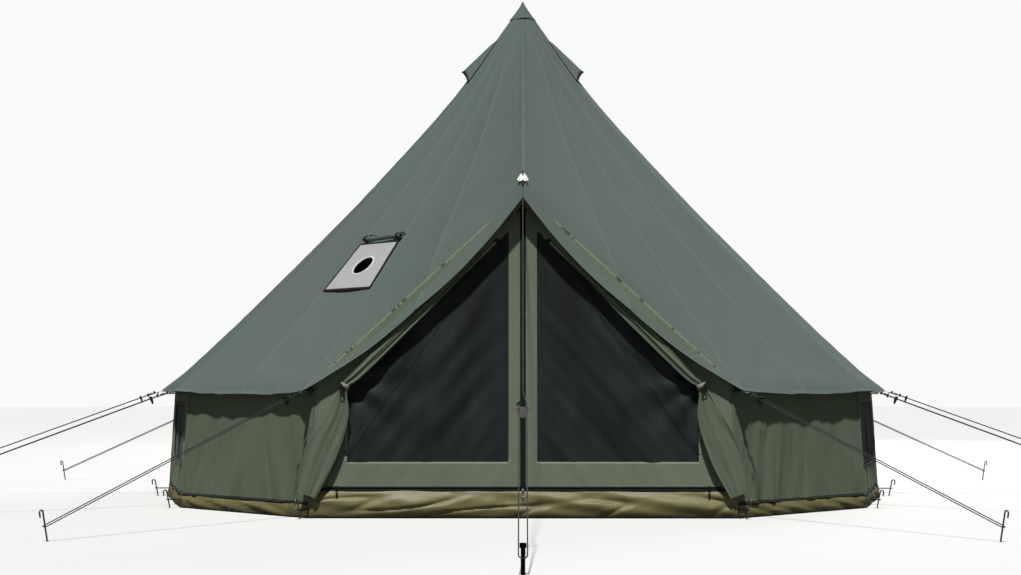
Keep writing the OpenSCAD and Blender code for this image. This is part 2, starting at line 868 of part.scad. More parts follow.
groundsheet();
groundsheet_zip();
wall_panels();
insect_screens();
roof_gores();
peak_cap();
vent_hoods();
stove_patch();
stove_binding();
stove_flap();
toggles();
door_surround();
outer_door_left();
outer_door_right();
pole_lower();
pole_upper();
pole_foot();
pole_crown();
a_frame_left();
a_frame_right();
a_frame_crown();
a_frame_feet();
eave_rings();
webbing_loops();
peg_bands();
ground_pegs();
guy_pegs();
front_stake();
apex_plate();
door_frame_left();
door_mesh_left();
door_frame_right();
door_mesh_right();
zip_slider_centre();
zip_slider_left();
zip_slider_right();
guy_rope(0);  // guy_rope_front
guy_rope(1);  // guy_rope_01
guy_rope(2);  // guy_rope_02
guy_rope(3);  // guy_rope_03
guy_rope(4);  // guy_rope_04
guy_rope(5);  // guy_rope_05
guy_rope(6);  // guy_rope_06
guy_rope(7);  // guy_rope_07
guy_rope(8);  // guy_rope_08
guy_rope(9);  // guy_rope_09
guy_rope(10);  // guy_rope_10
guy_rope(11);  // guy_rope_11
guy_runner(0);  // guy_runner_front
guy_runner(1);  // guy_runner_01
guy_runner(2);  // guy_runner_02
guy_runner(3);  // guy_runner_03
guy_runner(4);  // guy_runner_04
guy_runner(5);  // guy_runner_05
guy_runner(6);  // guy_runner_06
guy_runner(7);  // guy_runner_07
guy_runner(8);  // guy_runner_08
guy_runner(9);  // guy_runner_09
guy_runner(10);  // guy_runner_10
guy_runner(11);  // guy_runner_11
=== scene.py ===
"""A canvas bell tent, built round its CAD frame. Metres; azimuth 0 is the door, on -Y, growing towards +X."""

import math
from itertools import product

import bpy
import numpy as np
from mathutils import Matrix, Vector
from mathutils.geometry import delaunay_2d_cdt


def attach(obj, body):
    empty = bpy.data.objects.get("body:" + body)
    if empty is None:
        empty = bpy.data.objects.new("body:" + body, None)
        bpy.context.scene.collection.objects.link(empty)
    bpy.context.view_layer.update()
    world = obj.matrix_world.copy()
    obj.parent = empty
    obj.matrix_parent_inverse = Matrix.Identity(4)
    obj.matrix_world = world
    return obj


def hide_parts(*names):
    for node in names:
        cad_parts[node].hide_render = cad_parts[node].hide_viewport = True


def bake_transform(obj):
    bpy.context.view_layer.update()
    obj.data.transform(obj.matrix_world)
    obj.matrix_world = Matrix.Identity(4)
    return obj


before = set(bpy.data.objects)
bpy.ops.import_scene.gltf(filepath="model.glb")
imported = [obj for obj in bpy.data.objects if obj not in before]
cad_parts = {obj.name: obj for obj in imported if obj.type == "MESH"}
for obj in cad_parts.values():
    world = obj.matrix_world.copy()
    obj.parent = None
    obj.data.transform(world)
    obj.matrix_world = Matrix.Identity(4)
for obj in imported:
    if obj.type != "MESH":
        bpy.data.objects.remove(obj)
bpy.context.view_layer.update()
TAU = 2 * math.pi

# ---- Sizes that part.scad gives, in metres; azimuths in degrees ----
STEP, HALF = 30, 15
PLAN_R, BASE_R, EAVE_R, EAVE_Z = 2.0, 2.035, 2.06, 0.6
PEAK_R, PEAK_Z, ROOF_SAG = 0.045, 2.79, 0.12
ROOF_STEPS = (0, 0.16, 0.42, 0.82, 1)
WALL_TOP, HEM_Z, THRESHOLD_H = 0.647, 0.074, 0.13
WINDOWS, VENTS, STOVE_SIDE = (2, 4, 7, 9), (3, 6, 9), 10
WINDOW_W, WINDOW_H, WINDOW_Z = 0.8, 0.3, 0.23
DOOR_Y, DOOR_LEAN = -1.76236, math.radians(2.682)
LEAF_W, LEAF_BOTTOM, LEAF_TOP = 0.9505, 0.14, 1.5
FOOT_BAND, CENTRE_BAND, FOLD_GAP = 0.125, 0.065, 0.004
TIE, BUNDLE_OUT = (0.845, 0.625), 0.042
APEX_Z, TIP_Z, PIN_Y = 1.62, 1.52, 1.6645
STOVE_R, STOVE_SLOPE = 1.3935, math.radians(46.21)
STRIP_W, STRIP_TAPER, PATCH_L, PATCH_MARGIN = 0.36067, 0.1854, 0.34, 0.018
PATCH_Z, PIPE_R, BINDING = 1.245, 0.06, 0.012
GUY_REACH, FRONT_REACH, GUY_SPLAY, PEG_GRIP_Z = 3.6, 4.29, {1: 2, 11: -2}, 0.062
RUNNER_AT, FRONT_RUNNER_AT, ROPE_D = 0.09, 2.1, 0.005

# ---- Sizes that only the cloth has ----
ROOF_T, WALL_T = 0.0018, 0.0016
SIDE_W = 1.03  # one wall side, for the spacing of its folds
WALL_W, CORNER_GAP = 2 * 2.02 * math.sin(math.radians(HALF)), 0.0008
RIM_TOP, THRESHOLD_TOP, DOOR_HALF = 0.0615, 0.131, 1.0165
LEAF_FOLD, DOORWAY_FOLD = 0.35, 0.4  # how much of the doorway's folds each canvas takes

# A Mix node has a set of sockets for each type of data; these are the colour ones
MIX_FACTOR, MIX_A, MIX_B, MIX_OUT = 0, 6, 7, 2


def at(az, r, z):
    """Points at an azimuth in degrees, a radius and a height."""
    a = np.radians(az)
    return np.stack(np.broadcast_arrays(r * np.sin(a), -r * np.cos(a), z), -1)


def unit(v):
    v = np.asarray(v, float)
    return v / np.maximum(np.linalg.norm(v, axis=-1, keepdims=True), 1e-12)


def pchip(x, xs, ys):
    """A smooth curve through the points that never swings past them."""
    x, xs, ys = (np.asarray(a, float) for a in (x, xs, ys))
    h, d = np.diff(xs), np.diff(ys) / np.diff(xs)
    m = np.zeros(len(xs))
    m[0], m[-1] = d[0], d[-1]
    same = d[1:] * d[:-1] > 0
    w1, w2 = 2 * h[1:] + h[:-1], h[1:] + 2 * h[:-1]
    slope = np.where(d == 0, 1, d)
    m[1:-1][same] = ((w1 + w2) / (w1 / slope[:-1] + w2 / slope[1:]))[same]
    i = np.clip(np.searchsorted(xs, x) - 1, 0, len(h) - 1)
    t = (x - xs[i]) / h[i]
    return (
        (1 + 2 * t) * (1 - t) ** 2 * ys[i]
        + t * (1 - t) ** 2 * h[i] * m[i]
        + t * t * (3 - 2 * t) * ys[i + 1]
        + t * t * (t - 1) * h[i] * m[i + 1]
    )


def ease(x, lo, hi):
    t = np.clip((x - lo) / (hi - lo), 0, 1)
    return t * t * (3 - 2 * t)


def ripple(x, y, seed, waves=7, low=0.6, high=2.2):
    """Smooth noise from -1 to 1, about one hill per unit of x and y."""
    rng = np.random.default_rng(seed)
    total = np.zeros(np.broadcast(x, y).shape)
    for _ in range(waves):
        a, f, p = rng.uniform(0, TAU), rng.uniform(low, high), rng.uniform(0, TAU)
        total = total + np.sin(f * math.pi * (x * math.cos(a) + y * math.sin(a)) + p)
    return total / (0.62 * waves)


def run_along(p):
    """How far along a line of points each one is."""
    return np.concatenate([[0], np.cumsum(np.linalg.norm(np.diff(p, axis=0), axis=1))])


def in_scene(name, data):
    o = bpy.data.objects.new(name, data)
    bpy.context.scene.collection.objects.link(o)
    return o


# ---- Camera, floor and light ----
CAMERA_TILT, CAMERA_TURN, LENS, SENSOR = 93.42, 0.41, 61.1, 36
camera = in_scene("camera", bpy.data.cameras.new("camera"))
camera.location = (0, -10, 0.6)
camera.rotation_euler = (math.radians(CAMERA_TILT), 0, math.radians(CAMERA_TURN))
camera.data.sensor_width, camera.data.lens, camera.data.clip_end = SENSOR, LENS, 200
bpy.context.scene.camera = camera
bpy.context.scene.view_settings.view_transform = "Standard"


def lamp(name, kind, energy, location, target, size=None, angle=None, colour=(1, 1, 1)):
    data = bpy.data.lights.new(name, kind)
    data.energy, data.color = energy, colour
    if size:
        data.shape, data.size = "SQUARE", size
    if angle:
        data.angle = math.radians(angle)
    o = in_scene(name, data)
    o.location = location
    o.rotation_euler = (Vector(target) - Vector(location)).to_track_quat("-Z", "Y").to_euler()
    return o


lamp("sun", "SUN", 3.2, (-0.8, -7.0, 13), (0, 0, 0), angle=2.5, colour=(1, 0.985, 0.96))
lamp("fill", "AREA", 9, (-7, -9, 5), (0, 0, 1.2), size=5)
lamp("back", "AREA", 260, (5, 9, 6), (0, 0, 1.2), size=5)
world = bpy.data.worlds.new("studio")
bpy.context.scene.world = world
world.use_nodes = True
# The backdrop reads near white, and lights the tent much less than it shows
sky = world.node_tree.nodes["Background"]
sky.inputs["Strength"].default_value = 1
seen = world.node_tree.nodes.new("ShaderNodeLightPath")
tone = world.node_tree.nodes.new("ShaderNodeMix")
tone.data_type = "RGBA"
tone.inputs[MIX_A].default_value = (0.105, 0.112, 0.116, 1)
tone.inputs[MIX_B].default_value = (0.95, 0.953, 0.956, 1)
world.node_tree.links.new(seen.outputs["Is Camera Ray"], tone.inputs[MIX_FACTOR])
world.node_tree.links.new(tone.outputs[MIX_OUT], sky.inputs["Color"])


# ---- Materials ----
class Shader:
    """A Principled material and the nodes that feed it."""

    def __init__(self, name, rough=0.8, metal=0.0, **sockets):
        self.mat = bpy.data.materials.new(name)
        self.mat.use_nodes = True
        self.tree = self.mat.node_tree
        self.bsdf = self.tree.nodes["Principled BSDF"]
        self.set(self.bsdf, "Roughness", rough)
        self.set(self.bsdf, "Metallic", metal)
        for key, value in sockets.items():
            self.set(self.bsdf, key.replace("_", " "), value)

    def set(self, node, socket, value):
        if isinstance(value, bpy.types.NodeSocket):
            self.tree.links.new(value, node.inputs[socket])
        else:
            node.inputs[socket].default_value = value

    def add(self, kind, inputs, out=0, **props):
        node = self.tree.nodes.new("ShaderNode" + kind)
        for key, value in props.items():
            setattr(node, key, value)
        for socket, value in inputs.items():
            self.set(node, socket, value)
        return node.outputs[out]

    def coords(self, uv=False, scale=(1, 1, 1)):
        source = self.add("TexCoord", {}, "UV" if uv else "Object")
        return self.add("Mapping", {"Vector": source, "Scale": scale})

    def noise(self, vector, scale, detail=3.0, rough=0.5, out="Fac"):
        return self.add("TexNoise", {"Vector": vector, "Scale": scale, "Detail": detail, "Roughness": rough}, out)

    def wave(self, vector, pitch, direction="X"):
        """Bands a pitch apart: at a scale of 1 the texture's own are about a tenth of pi."""
        return self.add("TexWave", {"Vector": vector, "Scale": 0.31416 / pitch}, "Fac", bands_direction=direction)

    def math(self, op, a, b=0.0):
        return self.add("Math", {0: a, 1: b}, operation=op)

    def between(self, value, lo, hi, to_lo=0.0, to_hi=1.0):
        return self.add(
            "MapRange", {"Value": value, "From Min": lo, "From Max": hi, "To Min": to_lo, "To Max": to_hi}
        )

    def mix(self, fac, a, b):
        node = self.tree.nodes.new("ShaderNodeMix")
        node.data_type = "RGBA"
        for socket, value in ((MIX_FACTOR, fac), (MIX_A, a), (MIX_B, b)):
            self.set(node, socket, value)
        return node.outputs[MIX_OUT]

    def attribute(self, name):
        return self.add("Attribute", {}, "Fac", attribute_name=name)

    def bump(self, height, distance, strength=1.0, normal=None):
        inputs = {"Height": height, "Distance": distance, "Strength": strength}
        if normal is not None:
            inputs["Normal"] = normal
        return self.add("Bump", inputs)

    def finish(self, colour=None, rough=None, normal=None):
        for socket, value in (("Base Color", colour), ("Roughness", rough), ("Normal", normal)):
            if value is not None:
                self.set(self.bsdf, socket, value)
        return self.mat


def rgb(r, g, b, k=1.0):
    """A colour from 0-255 display values, times k."""
    return tuple(((c / 255) ** 2.2) * k for c in (r, g, b)) + (1,)


def scaled(colour, k):
    return tuple(c * k for c in colour[:3]) + (1,)


def canvas(name, colour, pitch=0.0011, stitched=True, worn=0.5, crease=0.0016):
    """Coarse polycotton: plain weave, slubs, faded patches, and sewn edges where the piece has an edge attribute."""
    s = Shader(name, rough=0.86, Sheen_Weight=0.25, Sheen_Roughness=0.5, Specular_IOR_Level=0.25)
    s.set(s.bsdf, "Sheen Tint", scaled(colour, 2.2))
    place, cloth = s.coords(), s.coords(uv=True)
    broad = s.noise(place, 1.3, 2)
    patch = s.noise(place, 7, 4, 0.6)
    slub = s.noise(s.coords(uv=True, scale=(60, 900, 60)), 1.0, 2)
    slub2 = s.noise(s.coords(uv=True, scale=(900, 60, 60)), 1.0, 2)
    c = s.mix(s.between(broad, 0.35, 0.65), scaled(colour, 1 - 0.09 * worn), scaled(colour, 1 + 0.1 * worn))
    c = s.mix(s.between(patch, 0.3, 0.7, 0, 0.5), c, scaled(colour, 1.13))
    c = s.mix(s.between(s.math("MULTIPLY", slub, slub2), 0.18, 0.36, 0, 0.35), c, scaled(colour, 0.72))
    warp, weft = s.wave(cloth, pitch, "X"), s.wave(cloth, pitch * 1.15, "Y")
    weave = s.math("MULTIPLY", warp, weft)
    c = s.mix(s.between(weave, 0.0, 0.5, 0.22, 0.0), c, scaled(colour, 0.55))
    height = s.noise(s.coords(uv=True, scale=(9, 2.2, 5)), 1.0, 4, 0.55)
    normal = s.bump(height, crease * 6, 0.55)
    if stitched:
        edge = s.attribute("edge")
        band = s.between(edge, 0.0125, 0.0115)
        dash = s.between(s.wave(s.coords(uv=True, scale=(1, 1, 1)), 0.0042, "DIAGONAL"), 0.35, 0.6)
        near = s.math("ABSOLUTE", s.math("SUBTRACT", edge, 0.009))
        line = s.math("MULTIPLY", s.between(near, 0.0011, 0.0005), dash)
        c = s.mix(s.math("MULTIPLY", band, 0.4), c, scaled(colour, 1.28))
        c = s.mix(s.math("MULTIPLY", line, 0.7), c, scaled(colour, 0.42))
        normal = s.bump(s.math("SUBTRACT", band, s.math("MULTIPLY", line, 0.7)), 0.0007, 1.0, normal)
    normal = s.bump(weave, 0.00035, 0.6, normal)
    return s.finish(c, s.between(patch, 0.3, 0.7, 0.8, 0.92), normal)


def insect_mesh(name):
    s = Shader(name, rough=0.62, Sheen_Weight=0.35, Sheen_Roughness=0.35, Alpha=0.93, Specular_IOR_Level=0.3)
    s.set(s.bsdf, "Sheen Tint", rgb(150, 160, 165))
    cloth = s.coords(uv=True)
    grid = s.math("MAXIMUM", s.wave(cloth, 0.0016, "X"), s.wave(cloth, 0.0016, "Y"))
    tone = s.noise(s.coords(uv=True, scale=(5, 1.6, 1)), 1.0, 3)
    c = s.mix(s.between(tone, 0.3, 0.7), rgb(29, 34, 34), rgb(50, 57, 58))
    # The holes between the threads are painted near black: painted shade of the unlit inside seen through the mesh
    c = s.mix(s.between(grid, 0.35, 0.9, 0.5, 0), c, rgb(12, 13, 14))
    return s.finish(c, None, s.bump(grid, 0.0003, 0.5))


def sheeting(name, colour):
    """Coated groundsheet cloth: ribbed, slightly shiny, darker in patches towards the ground."""
    s = Shader(name, rough=0.5, Specular_IOR_Level=0.45)
    place, cloth = s.coords(), s.coords(uv=True)
    patch, fine = s.noise(place, 6, 4, 0.6), s.noise(place, 45, 3)
    low = s.between(s.add("SeparateXYZ", {0: place}, "Z"), 0.0, 0.05, 1, 0)
    c = s.mix(s.between(patch, 0.35, 0.7), scaled(colour, 0.84), scaled(colour, 1.15))
    c = s.mix(s.between(fine, 0.45, 0.8, 0, 0.3), c, rgb(122, 104, 74))
    c = s.mix(s.math("MULTIPLY", low, s.between(patch, 0.3, 0.6, 0.2, 0.75)), c, rgb(70, 60, 40))
    ribs = s.math("MAXIMUM", s.wave(cloth, 0.0045, "X"), s.wave(cloth, 0.0045, "Y"))
    normal = s.bump(s.noise(place, 14, 4, 0.6), 0.006, 0.6)
    return s.finish(c, s.between(patch, 0.3, 0.7, 0.42, 0.6), s.bump(ribs, 0.0002, 0.5, normal))


def tape(name, colour, rough=0.8, pitch=0.0013, uv=True):
    """Woven tape or webbing with a herringbone rib."""
    s = Shader(name, rough=rough, Sheen_Weight=0.2, Specular_IOR_Level=0.25)
    cloth = s.coords(uv=uv)
    rib = s.math("MAXIMUM", s.wave(cloth, pitch, "DIAGONAL"), s.wave(cloth, pitch * 2.2, "X"))
    c = s.mix(s.between(rib, 0.2, 0.8), scaled(colour, 0.6), scaled(colour, 1.15))
    c = s.mix(s.between(s.noise(s.coords(), 30, 3), 0.4, 0.7, 0, 0.4), c, scaled(colour, 1.5))
    return s.finish(c, None, s.bump(rib, 0.0004, 0.7))


def metal(name, colour, rough=0.3, scale=60.0, worn=(0.4, 0.4, 0.4, 1), amount=0.25):
    s = Shader(name, rough=rough, metal=1.0)
    place = s.coords()
    marks = s.noise(place, scale, 5, 0.65)
    streak = s.noise(s.coords(scale=(scale * 3, scale * 3, scale / 4)), 1.0, 3)
    c = s.mix(s.between(marks, 0.5, 0.75, 0, amount), colour, worn)
    r = s.between(streak, 0.3, 0.7, rough - 0.08, rough + 0.14)
    return s.finish(c, r, s.bump(marks, 0.0002, 0.4))


def plastic(name, colour, rough=0.45, scale=90.0):
    s = Shader(name, rough=rough, Specular_IOR_Level=0.45)
    grain = s.noise(s.coords(), scale * 6, 3)
    scuff = s.noise(s.coords(), scale / 3, 5, 0.7)
    c = s.mix(s.between(scuff, 0.52, 0.72, 0, 0.5), colour, scaled(colour, 1.9))
    return s.finish(c, s.between(scuff, 0.3, 0.7, rough - 0.08, rough + 0.15), s.bump(grain, 0.00015, 0.6))


ROOF_GREEN, WALL_GREEN, BAND_GREEN = rgb(100, 113, 107), rgb(107, 118, 99), rgb(122, 132, 114)
M = {
    "roof": canvas("roof canvas", ROOF_GREEN),
    "wall": canvas("wall canvas", WALL_GREEN, crease=0.0026),
    "door": canvas("door canvas", BAND_GREEN, crease=0.0022),
    "bundle": canvas("gathered canvas", rgb(106, 117, 99), stitched=False, crease=0.0022),
    "net": insect_mesh("insect mesh"),
    "sheet": sheeting("groundsheet", rgb(123, 119, 80)),
    "tape": tape("black tape", rgb(22, 24, 23)),
    "binding": tape("mesh binding", rgb(140, 146, 128), pitch=0.0016),
    "webbing": tape("webbing", rgb(58, 66, 54), pitch=0.002),
    "glass": canvas("fibreglass patch", rgb(186, 187, 191), pitch=0.0018, worn=0.3, crease=0.001),
    "rope": tape("guy rope", rgb(52, 56, 52), pitch=0.003, uv=False),
    "steel": metal("tube steel", rgb(176, 180, 184), 0.3, 30),
    "peg": metal("peg steel", rgb(132, 132, 128), 0.42, 80, rgb(110, 84, 60), 0.35),
    "zinc": metal("zip metal", rgb(150, 152, 154), 0.34, 120),
    "runner": metal("runner metal", rgb(205, 207, 209), 0.28, 70),
    "stake": metal("stake black", rgb(24, 25, 26), 0.5, 60, rgb(90, 80, 70), 0.3),
    "white": plastic("plate white", rgb(236, 237, 236), 0.42),
    "plastic": plastic("black plastic", rgb(24, 25, 26)),
    "rubber": plastic("rubber", rgb(20, 20, 20), 0.6, 40),
    "thread": tape("pale stitching", rgb(214, 214, 212), pitch=0.0012),
}


# ---- Meshes ----
def piece(name, body, verts, faces, look, uv=None, edge=None, thick=0.0, stands_for=()):
    """A smooth-shaded mesh on one body; uv are its cloth's flat coordinates, edge its distance from a sewn edge."""
    mesh = bpy.data.meshes.new(name)
    mesh.from_pydata([tuple(v) for v in np.asarray(verts, float)], [], [tuple(int(i) for i in f) for f in faces])
    if uv is not None:
        loops = np.zeros(len(mesh.loops), int)
        mesh.loops.foreach_get("vertex_index", loops)
        mesh.uv_layers.new(name="cloth").data.foreach_set("uv", np.asarray(uv, float)[loops].ravel())
    if edge is not None:
        mesh.attributes.new("edge", "FLOAT", "POINT").data.foreach_set("value", np.asarray(edge, float))
    mesh.polygons.foreach_set("use_smooth", [True] * len(mesh.polygons))
    mesh.validate()
    mesh.update()
    o = in_scene(name, mesh)
    mesh.materials.append(M[look])
    if thick:
        m = o.modifiers.new("thickness", "SOLIDIFY")
        m.thickness, m.offset = thick, -1
    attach(o, body)
    if stands_for:
        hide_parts(*stands_for)
    return o


def band(name, body, rows, look, run=None, drop=0.006, closed=False, flip=False, **more):
    """A band made from rows of points; run and drop place its cloth along the rows and across them."""
    rows = np.stack(rows)
    n, m = rows.shape[:2]
    run = run_along(rows[0]) if run is None else run
    uv = np.stack([np.tile(run, n), np.repeat(np.arange(n) * drop, m)], 1)
    plain = np.full(n * m, 0.05)  # far from any edge, so that no stitches show
    return piece(name, body, rows.reshape(-1, 3), grid_faces(n, m, closed, flip), look, uv, plain, **more)


def grid_faces(n, m, closed=False, flip=False):
    faces = []
    for i in range(n - 1):
        for j in range(m if closed else m - 1):
            k = (j + 1) % m
            f = (i * m + j, (i + 1) * m + j, (i + 1) * m + k, i * m + k)
            faces.append(f[::-1] if flip else f)
    return faces


def grid_normals(p, closed=False):
    """Normals of a grid of points (rows, columns, 3)."""
    rows = np.gradient(p, axis=0)
    if closed:
        cols = np.roll(p, -1, 1) - np.roll(p, 1, 1)
    else:
        cols = np.gradient(p, axis=1)
    return unit(np.cross(rows, cols))


def join(parts):
    """One vertex array and face list from several."""
    verts, faces, n = [], [], 0
    for v, f in parts:
        verts.append(np.asarray(v, float).reshape(-1, 3))
        faces += [tuple(i + n for i in g) for g in f]
        n += len(verts[-1])
    return np.concatenate(verts), faces


def tube(points, radius, across, sides=10, lobes=0, pitch=0.02, depth=0.0):
    """A round or twisted tube along a flat path; across is square to the path's plane."""
    p = np.asarray(points, float)
    t = unit(np.gradient(p, axis=0))
    side = unit(np.cross(np.broadcast_to(across, t.shape), t))
    up = unit(np.cross(t, side))
    run = run_along(p)
    a = TAU * np.arange(sides) / sides
    r = np.broadcast_to(np.asarray(radius, float), run.shape)[:, None]
    if lobes:
        r = r * (1 - depth + depth * np.cos(lobes * a[None] - TAU * run[:, None] / pitch))
    ring = p[:, None] + side[:, None] * (r * np.cos(a))[..., None] + up[:, None] * (r * np.sin(a))[..., None]
    faces = grid_faces(len(p), sides, closed=True, flip=True)
    faces += [tuple(range(sides)), tuple((len(p) - 1) * sides + i for i in reversed(range(sides)))]
    return ring.reshape(-1, 3), faces


def inside(points, ring):
    x, y = points[:, 0], points[:, 1]
    hit = np.zeros(len(points), bool)
    for (x0, y0), (x1, y1) in zip(ring, np.roll(ring, -1, 0)):
        if y0 != y1:
            hit ^= ((y0 > y) != (y1 > y)) & (x < x0 + (y - y0) * (x1 - x0) / (y1 - y0))
    return hit


def from_edges(points, rings):
    """Distance of each point to the nearest edge of the rings."""
    best = np.full(len(points), 1e9)
    for ring in rings:
        for a, b in zip(ring, np.roll(ring, -1, 0)):
            d = b - a
            t = np.clip(((points - a) @ d) / max(d @ d, 1e-12), 0, 1)
            best = np.minimum(best, np.linalg.norm(points - a - t[:, None] * d, axis=1))
    return best


def walk(ring, count):
    """Points along a closed outline, with count(length) of them on each edge."""
    points = []
    for a, b in zip(ring, np.roll(ring, -1, 0)):
        n = count(np.linalg.norm(b - a))
        points += [a + (b - a) * i / n for i in range(n)]
    return np.array(points)


def panel(outline, holes=(), step=0.02):
    """Fills a flat outline, less its holes, with even triangles: (points, triangles, distance to the edge)."""
    rings = [np.asarray(r, float) for r in (outline, *holes)]
    points, edges = [], []
    for ring in rings:
        start, line = len(points), walk(ring, lambda length: max(1, int(round(length / step))))
        n = len(line)
        points += list(line)
        edges += [(start + i, start + (i + 1) % n) for i in range(n)]
    lo, hi = rings[0].min(0), rings[0].max(0)
    gx, gy = np.meshgrid(np.arange(lo[0], hi[0], step), np.arange(lo[1], hi[1], step * 0.866))
    gx[1::2] += step / 2
    fill = np.stack([gx.ravel(), gy.ravel()], 1)
    keep = inside(fill, rings[0]) & (from_edges(fill, rings) > 0.5 * step)
    for hole in rings[1:]:
        keep &= ~inside(fill, hole)
    everything = [Vector(p) for p in points] + [Vector(p) for p in fill[keep]]
    verts, _, tris, *_ = delaunay_2d_cdt(everything, edges, [], 0, 1e-6)
    v = np.array([tuple(p) for p in verts])
    tris = np.array([t for t in tris if len(t) == 3])
    centre = v[tris].mean(1)
    keep = inside(centre, rings[0])
    for hole in rings[1:]:
        keep &= ~inside(centre, hole)
    tris = tris[keep]
    used, tris = np.unique(tris, return_inverse=True)
    tris, v = tris.reshape(-1, 3), v[used]
    a, b, c = (v[tris[:, i]] for i in range(3))
    turn = (b - a)[:, 0] * (c - a)[:, 1] - (b - a)[:, 1] * (c - a)[:, 0]
    tris[turn < 0] = tris[turn < 0][:, ::-1]
    return v, tris, from_edges(v, rings)


def rounded(x0, y0, x1, y1, r, n=5):
    """A rectangle with round corners."""
    ring = []
    for cx, cy, start in ((x1 - r, y1 - r, 0), (x0 + r, y1 - r, 90), (x0 + r, y0 + r, 180), (x1 - r, y0 + r, 270)):
        turns = [math.radians(start + 90 * i / n) for i in range(n + 1)]
        ring += [(cx + r * math.cos(a), cy + r * math.sin(a)) for a in turns]
    return np.array(ring)


def box_mesh(size, centre, basis=np.eye(3), bevel=0.2):
    """A box with cut corners all round, as (vertices, faces): 24 points, in its own basis."""
    h = np.asarray(size, float) / 2
    cut_back = bevel * h.min()
    verts, index = [], {}
    corners = list(product((-1, 1), repeat=3))
    for corner in corners:
        for k in range(3):
            p = np.array(corner) * (h - cut_back)
            p[k] = corner[k] * h[k]
            index[(*corner, k)] = len(verts)
            verts.append(p)
    faces = []
    for k in range(3):
        i, j = (axis for axis in range(3) if axis != k)

        def vertex(owner, on_k, on_i, on_j):
            corner = [0, 0, 0]
            corner[k], corner[i], corner[j] = on_k, on_i, on_j
            return index[(*corner, owner)]

        for s in (-1, 1):
            faces.append([vertex(k, s, a, b) for a, b in ((-1, -1), (1, -1), (1, 1), (-1, 1))])
        for a, b in product((-1, 1), repeat=2):
            faces.append([vertex(i, -1, a, b), vertex(i, 1, a, b), vertex(j, 1, a, b), vertex(j, -1, a, b)])
    faces += [[index[(*corner, k)] for k in range(3)] for corner in corners]
    v, out = np.array(verts), []
    for f in faces:
        p = v[f]
        outwards = np.cross(p[1] - p[0], p[2] - p[0]) @ p.mean(0) > 0
        out.append(tuple(f if outwards else f[::-1]))
    return v @ np.asarray(basis, float).T + np.asarray(centre, float), out


# ---- Guys: the same routes as part.scad, in metres ----
def guy(k):
    """Start, direction, side, turn radius and span of a guy; guy 0 is the front one."""
    if k == 0:
        start, end, turn, hook = np.array([0, -PIN_Y - 0.036, 1.607]), at(0, FRONT_REACH, PEG_GRIP_Z), 0.015, 0.0075
    else:
        start, turn, hook = at(k * STEP, EAVE_R + 0.059, EAVE_Z - 0.008), 0.012, 0.0035
        end = at(k * STEP + GUY_SPLAY.get(k, 0), GUY_REACH, PEG_GRIP_Z)
    d = unit(end - start)
    room = (ROPE_D / 2 + hook + 0.0006) / math.hypot(d[0], d[1])
    return start, d, unit(np.cross(d, [0, 0, 1])), turn, np.linalg.norm(end - start) - turn + room


def guy_route(k, step=0.0034):
    """The rope's line: out to the peg, round it, and back as far as the runner."""
    start, d, side, turn, span = guy(k)
    a = np.radians(np.linspace(-90, 90, 15))
    out = np.arange(0, span, step)
    below = -turn * ease(out, 1.95, 2.08) if k == 0 else np.full(len(out), -turn)
    back = np.arange(span - step, (RUNNER_AT if k else FRONT_RUNNER_AT) - 0.045, -step)
    flat = np.concatenate([
        np.stack([out, below], 1),
        np.stack([span + turn * np.cos(a), turn * np.sin(a)], 1),
        np.stack([back, np.full(len(back), turn)], 1),
    ])
    return start + flat[:, :1] * d + flat[:, 1:] * side


def trefoil(centre, size, wire, basis, n=48):
    """An overhand knot, pulled small."""
    t = TAU * np.arange(n) / n
    p = np.stack([np.sin(t) + 2 * np.sin(2 * t), np.cos(t) - 2 * np.cos(2 * t), -1.3 * np.sin(3 * t)], 1) * size / 3
    p = p @ np.asarray(basis).T + centre
    tan = unit(np.roll(p, -1, 0) - np.roll(p, 1, 0))
    out = unit(p - centre)
    side = unit(np.cross(tan, out))
    up = np.cross(side, tan)
    a = TAU * np.arange(8) / 8
    ring = p[:, None] + wire * (side[:, None] * np.cos(a)[:, None] + up[:, None] * np.sin(a)[:, None])
    faces = [
        (i * 8 + j, i * 8 + (j + 1) % 8, (i + 1) % n * 8 + (j + 1) % 8, (i + 1) % n * 8 + j)
        for i in range(n)
        for j in range(8)
    ]
    return ring.reshape(-1, 3), faces


for k in range(12):
    tag = "front" if k == 0 else f"{k:02d}"
    start, d, side, turn, span = guy(k)
    route = guy_route(k)
    up = np.cross(d, side)
    verts, faces = tube(route, ROPE_D / 2, up, sides=9, lobes=3, pitch=0.021, depth=0.1)
    rope = piece(f"rope_{tag}", "tent", verts, faces, "rope", stands_for=[f"guy_rope_{tag}"])
    basis = np.stack([side, up, d], 1)
    knots = [trefoil(route[0] + d * 0.004, 0.0085, 0.0023, basis), trefoil(route[-1], 0.0085, 0.0023, basis)]
    wraps = np.arange(0, 30)
    coil = route[0] + d * 0.014 + (
        np.outer(wraps * 0.0009, d) + 0.0045 * (np.outer(np.cos(wraps * 0.9), side) + np.outer(np.sin(wraps * 0.9), up))
    )
    knots.append(tube(coil, 0.0021, d, sides=7))
    verts, faces = join(knots)
    knot = piece(f"knots_{tag}", "tent", verts, faces, "rope")


# ---- Roof ----
def sag_share(t):
    return t**0.6 * (1 - t) / (0.375**0.6 * 0.625)


STEPS_Z = [PEAK_Z - s * (PEAK_Z - EAVE_Z) - ROOF_SAG * (sag_share(s) if s else 0) for s in ROOF_STEPS]
KNOTS = np.arange(5.0)
S_FINE = np.linspace(0, 4, 400)
T_FINE = pchip(S_FINE, KNOTS, ROOF_STEPS)


def corner_rail(az, s):
    return at(az, PEAK_R + pchip(s, KNOTS, ROOF_STEPS) * (EAVE_R - PEAK_R), pchip(s, KNOTS, STEPS_Z))


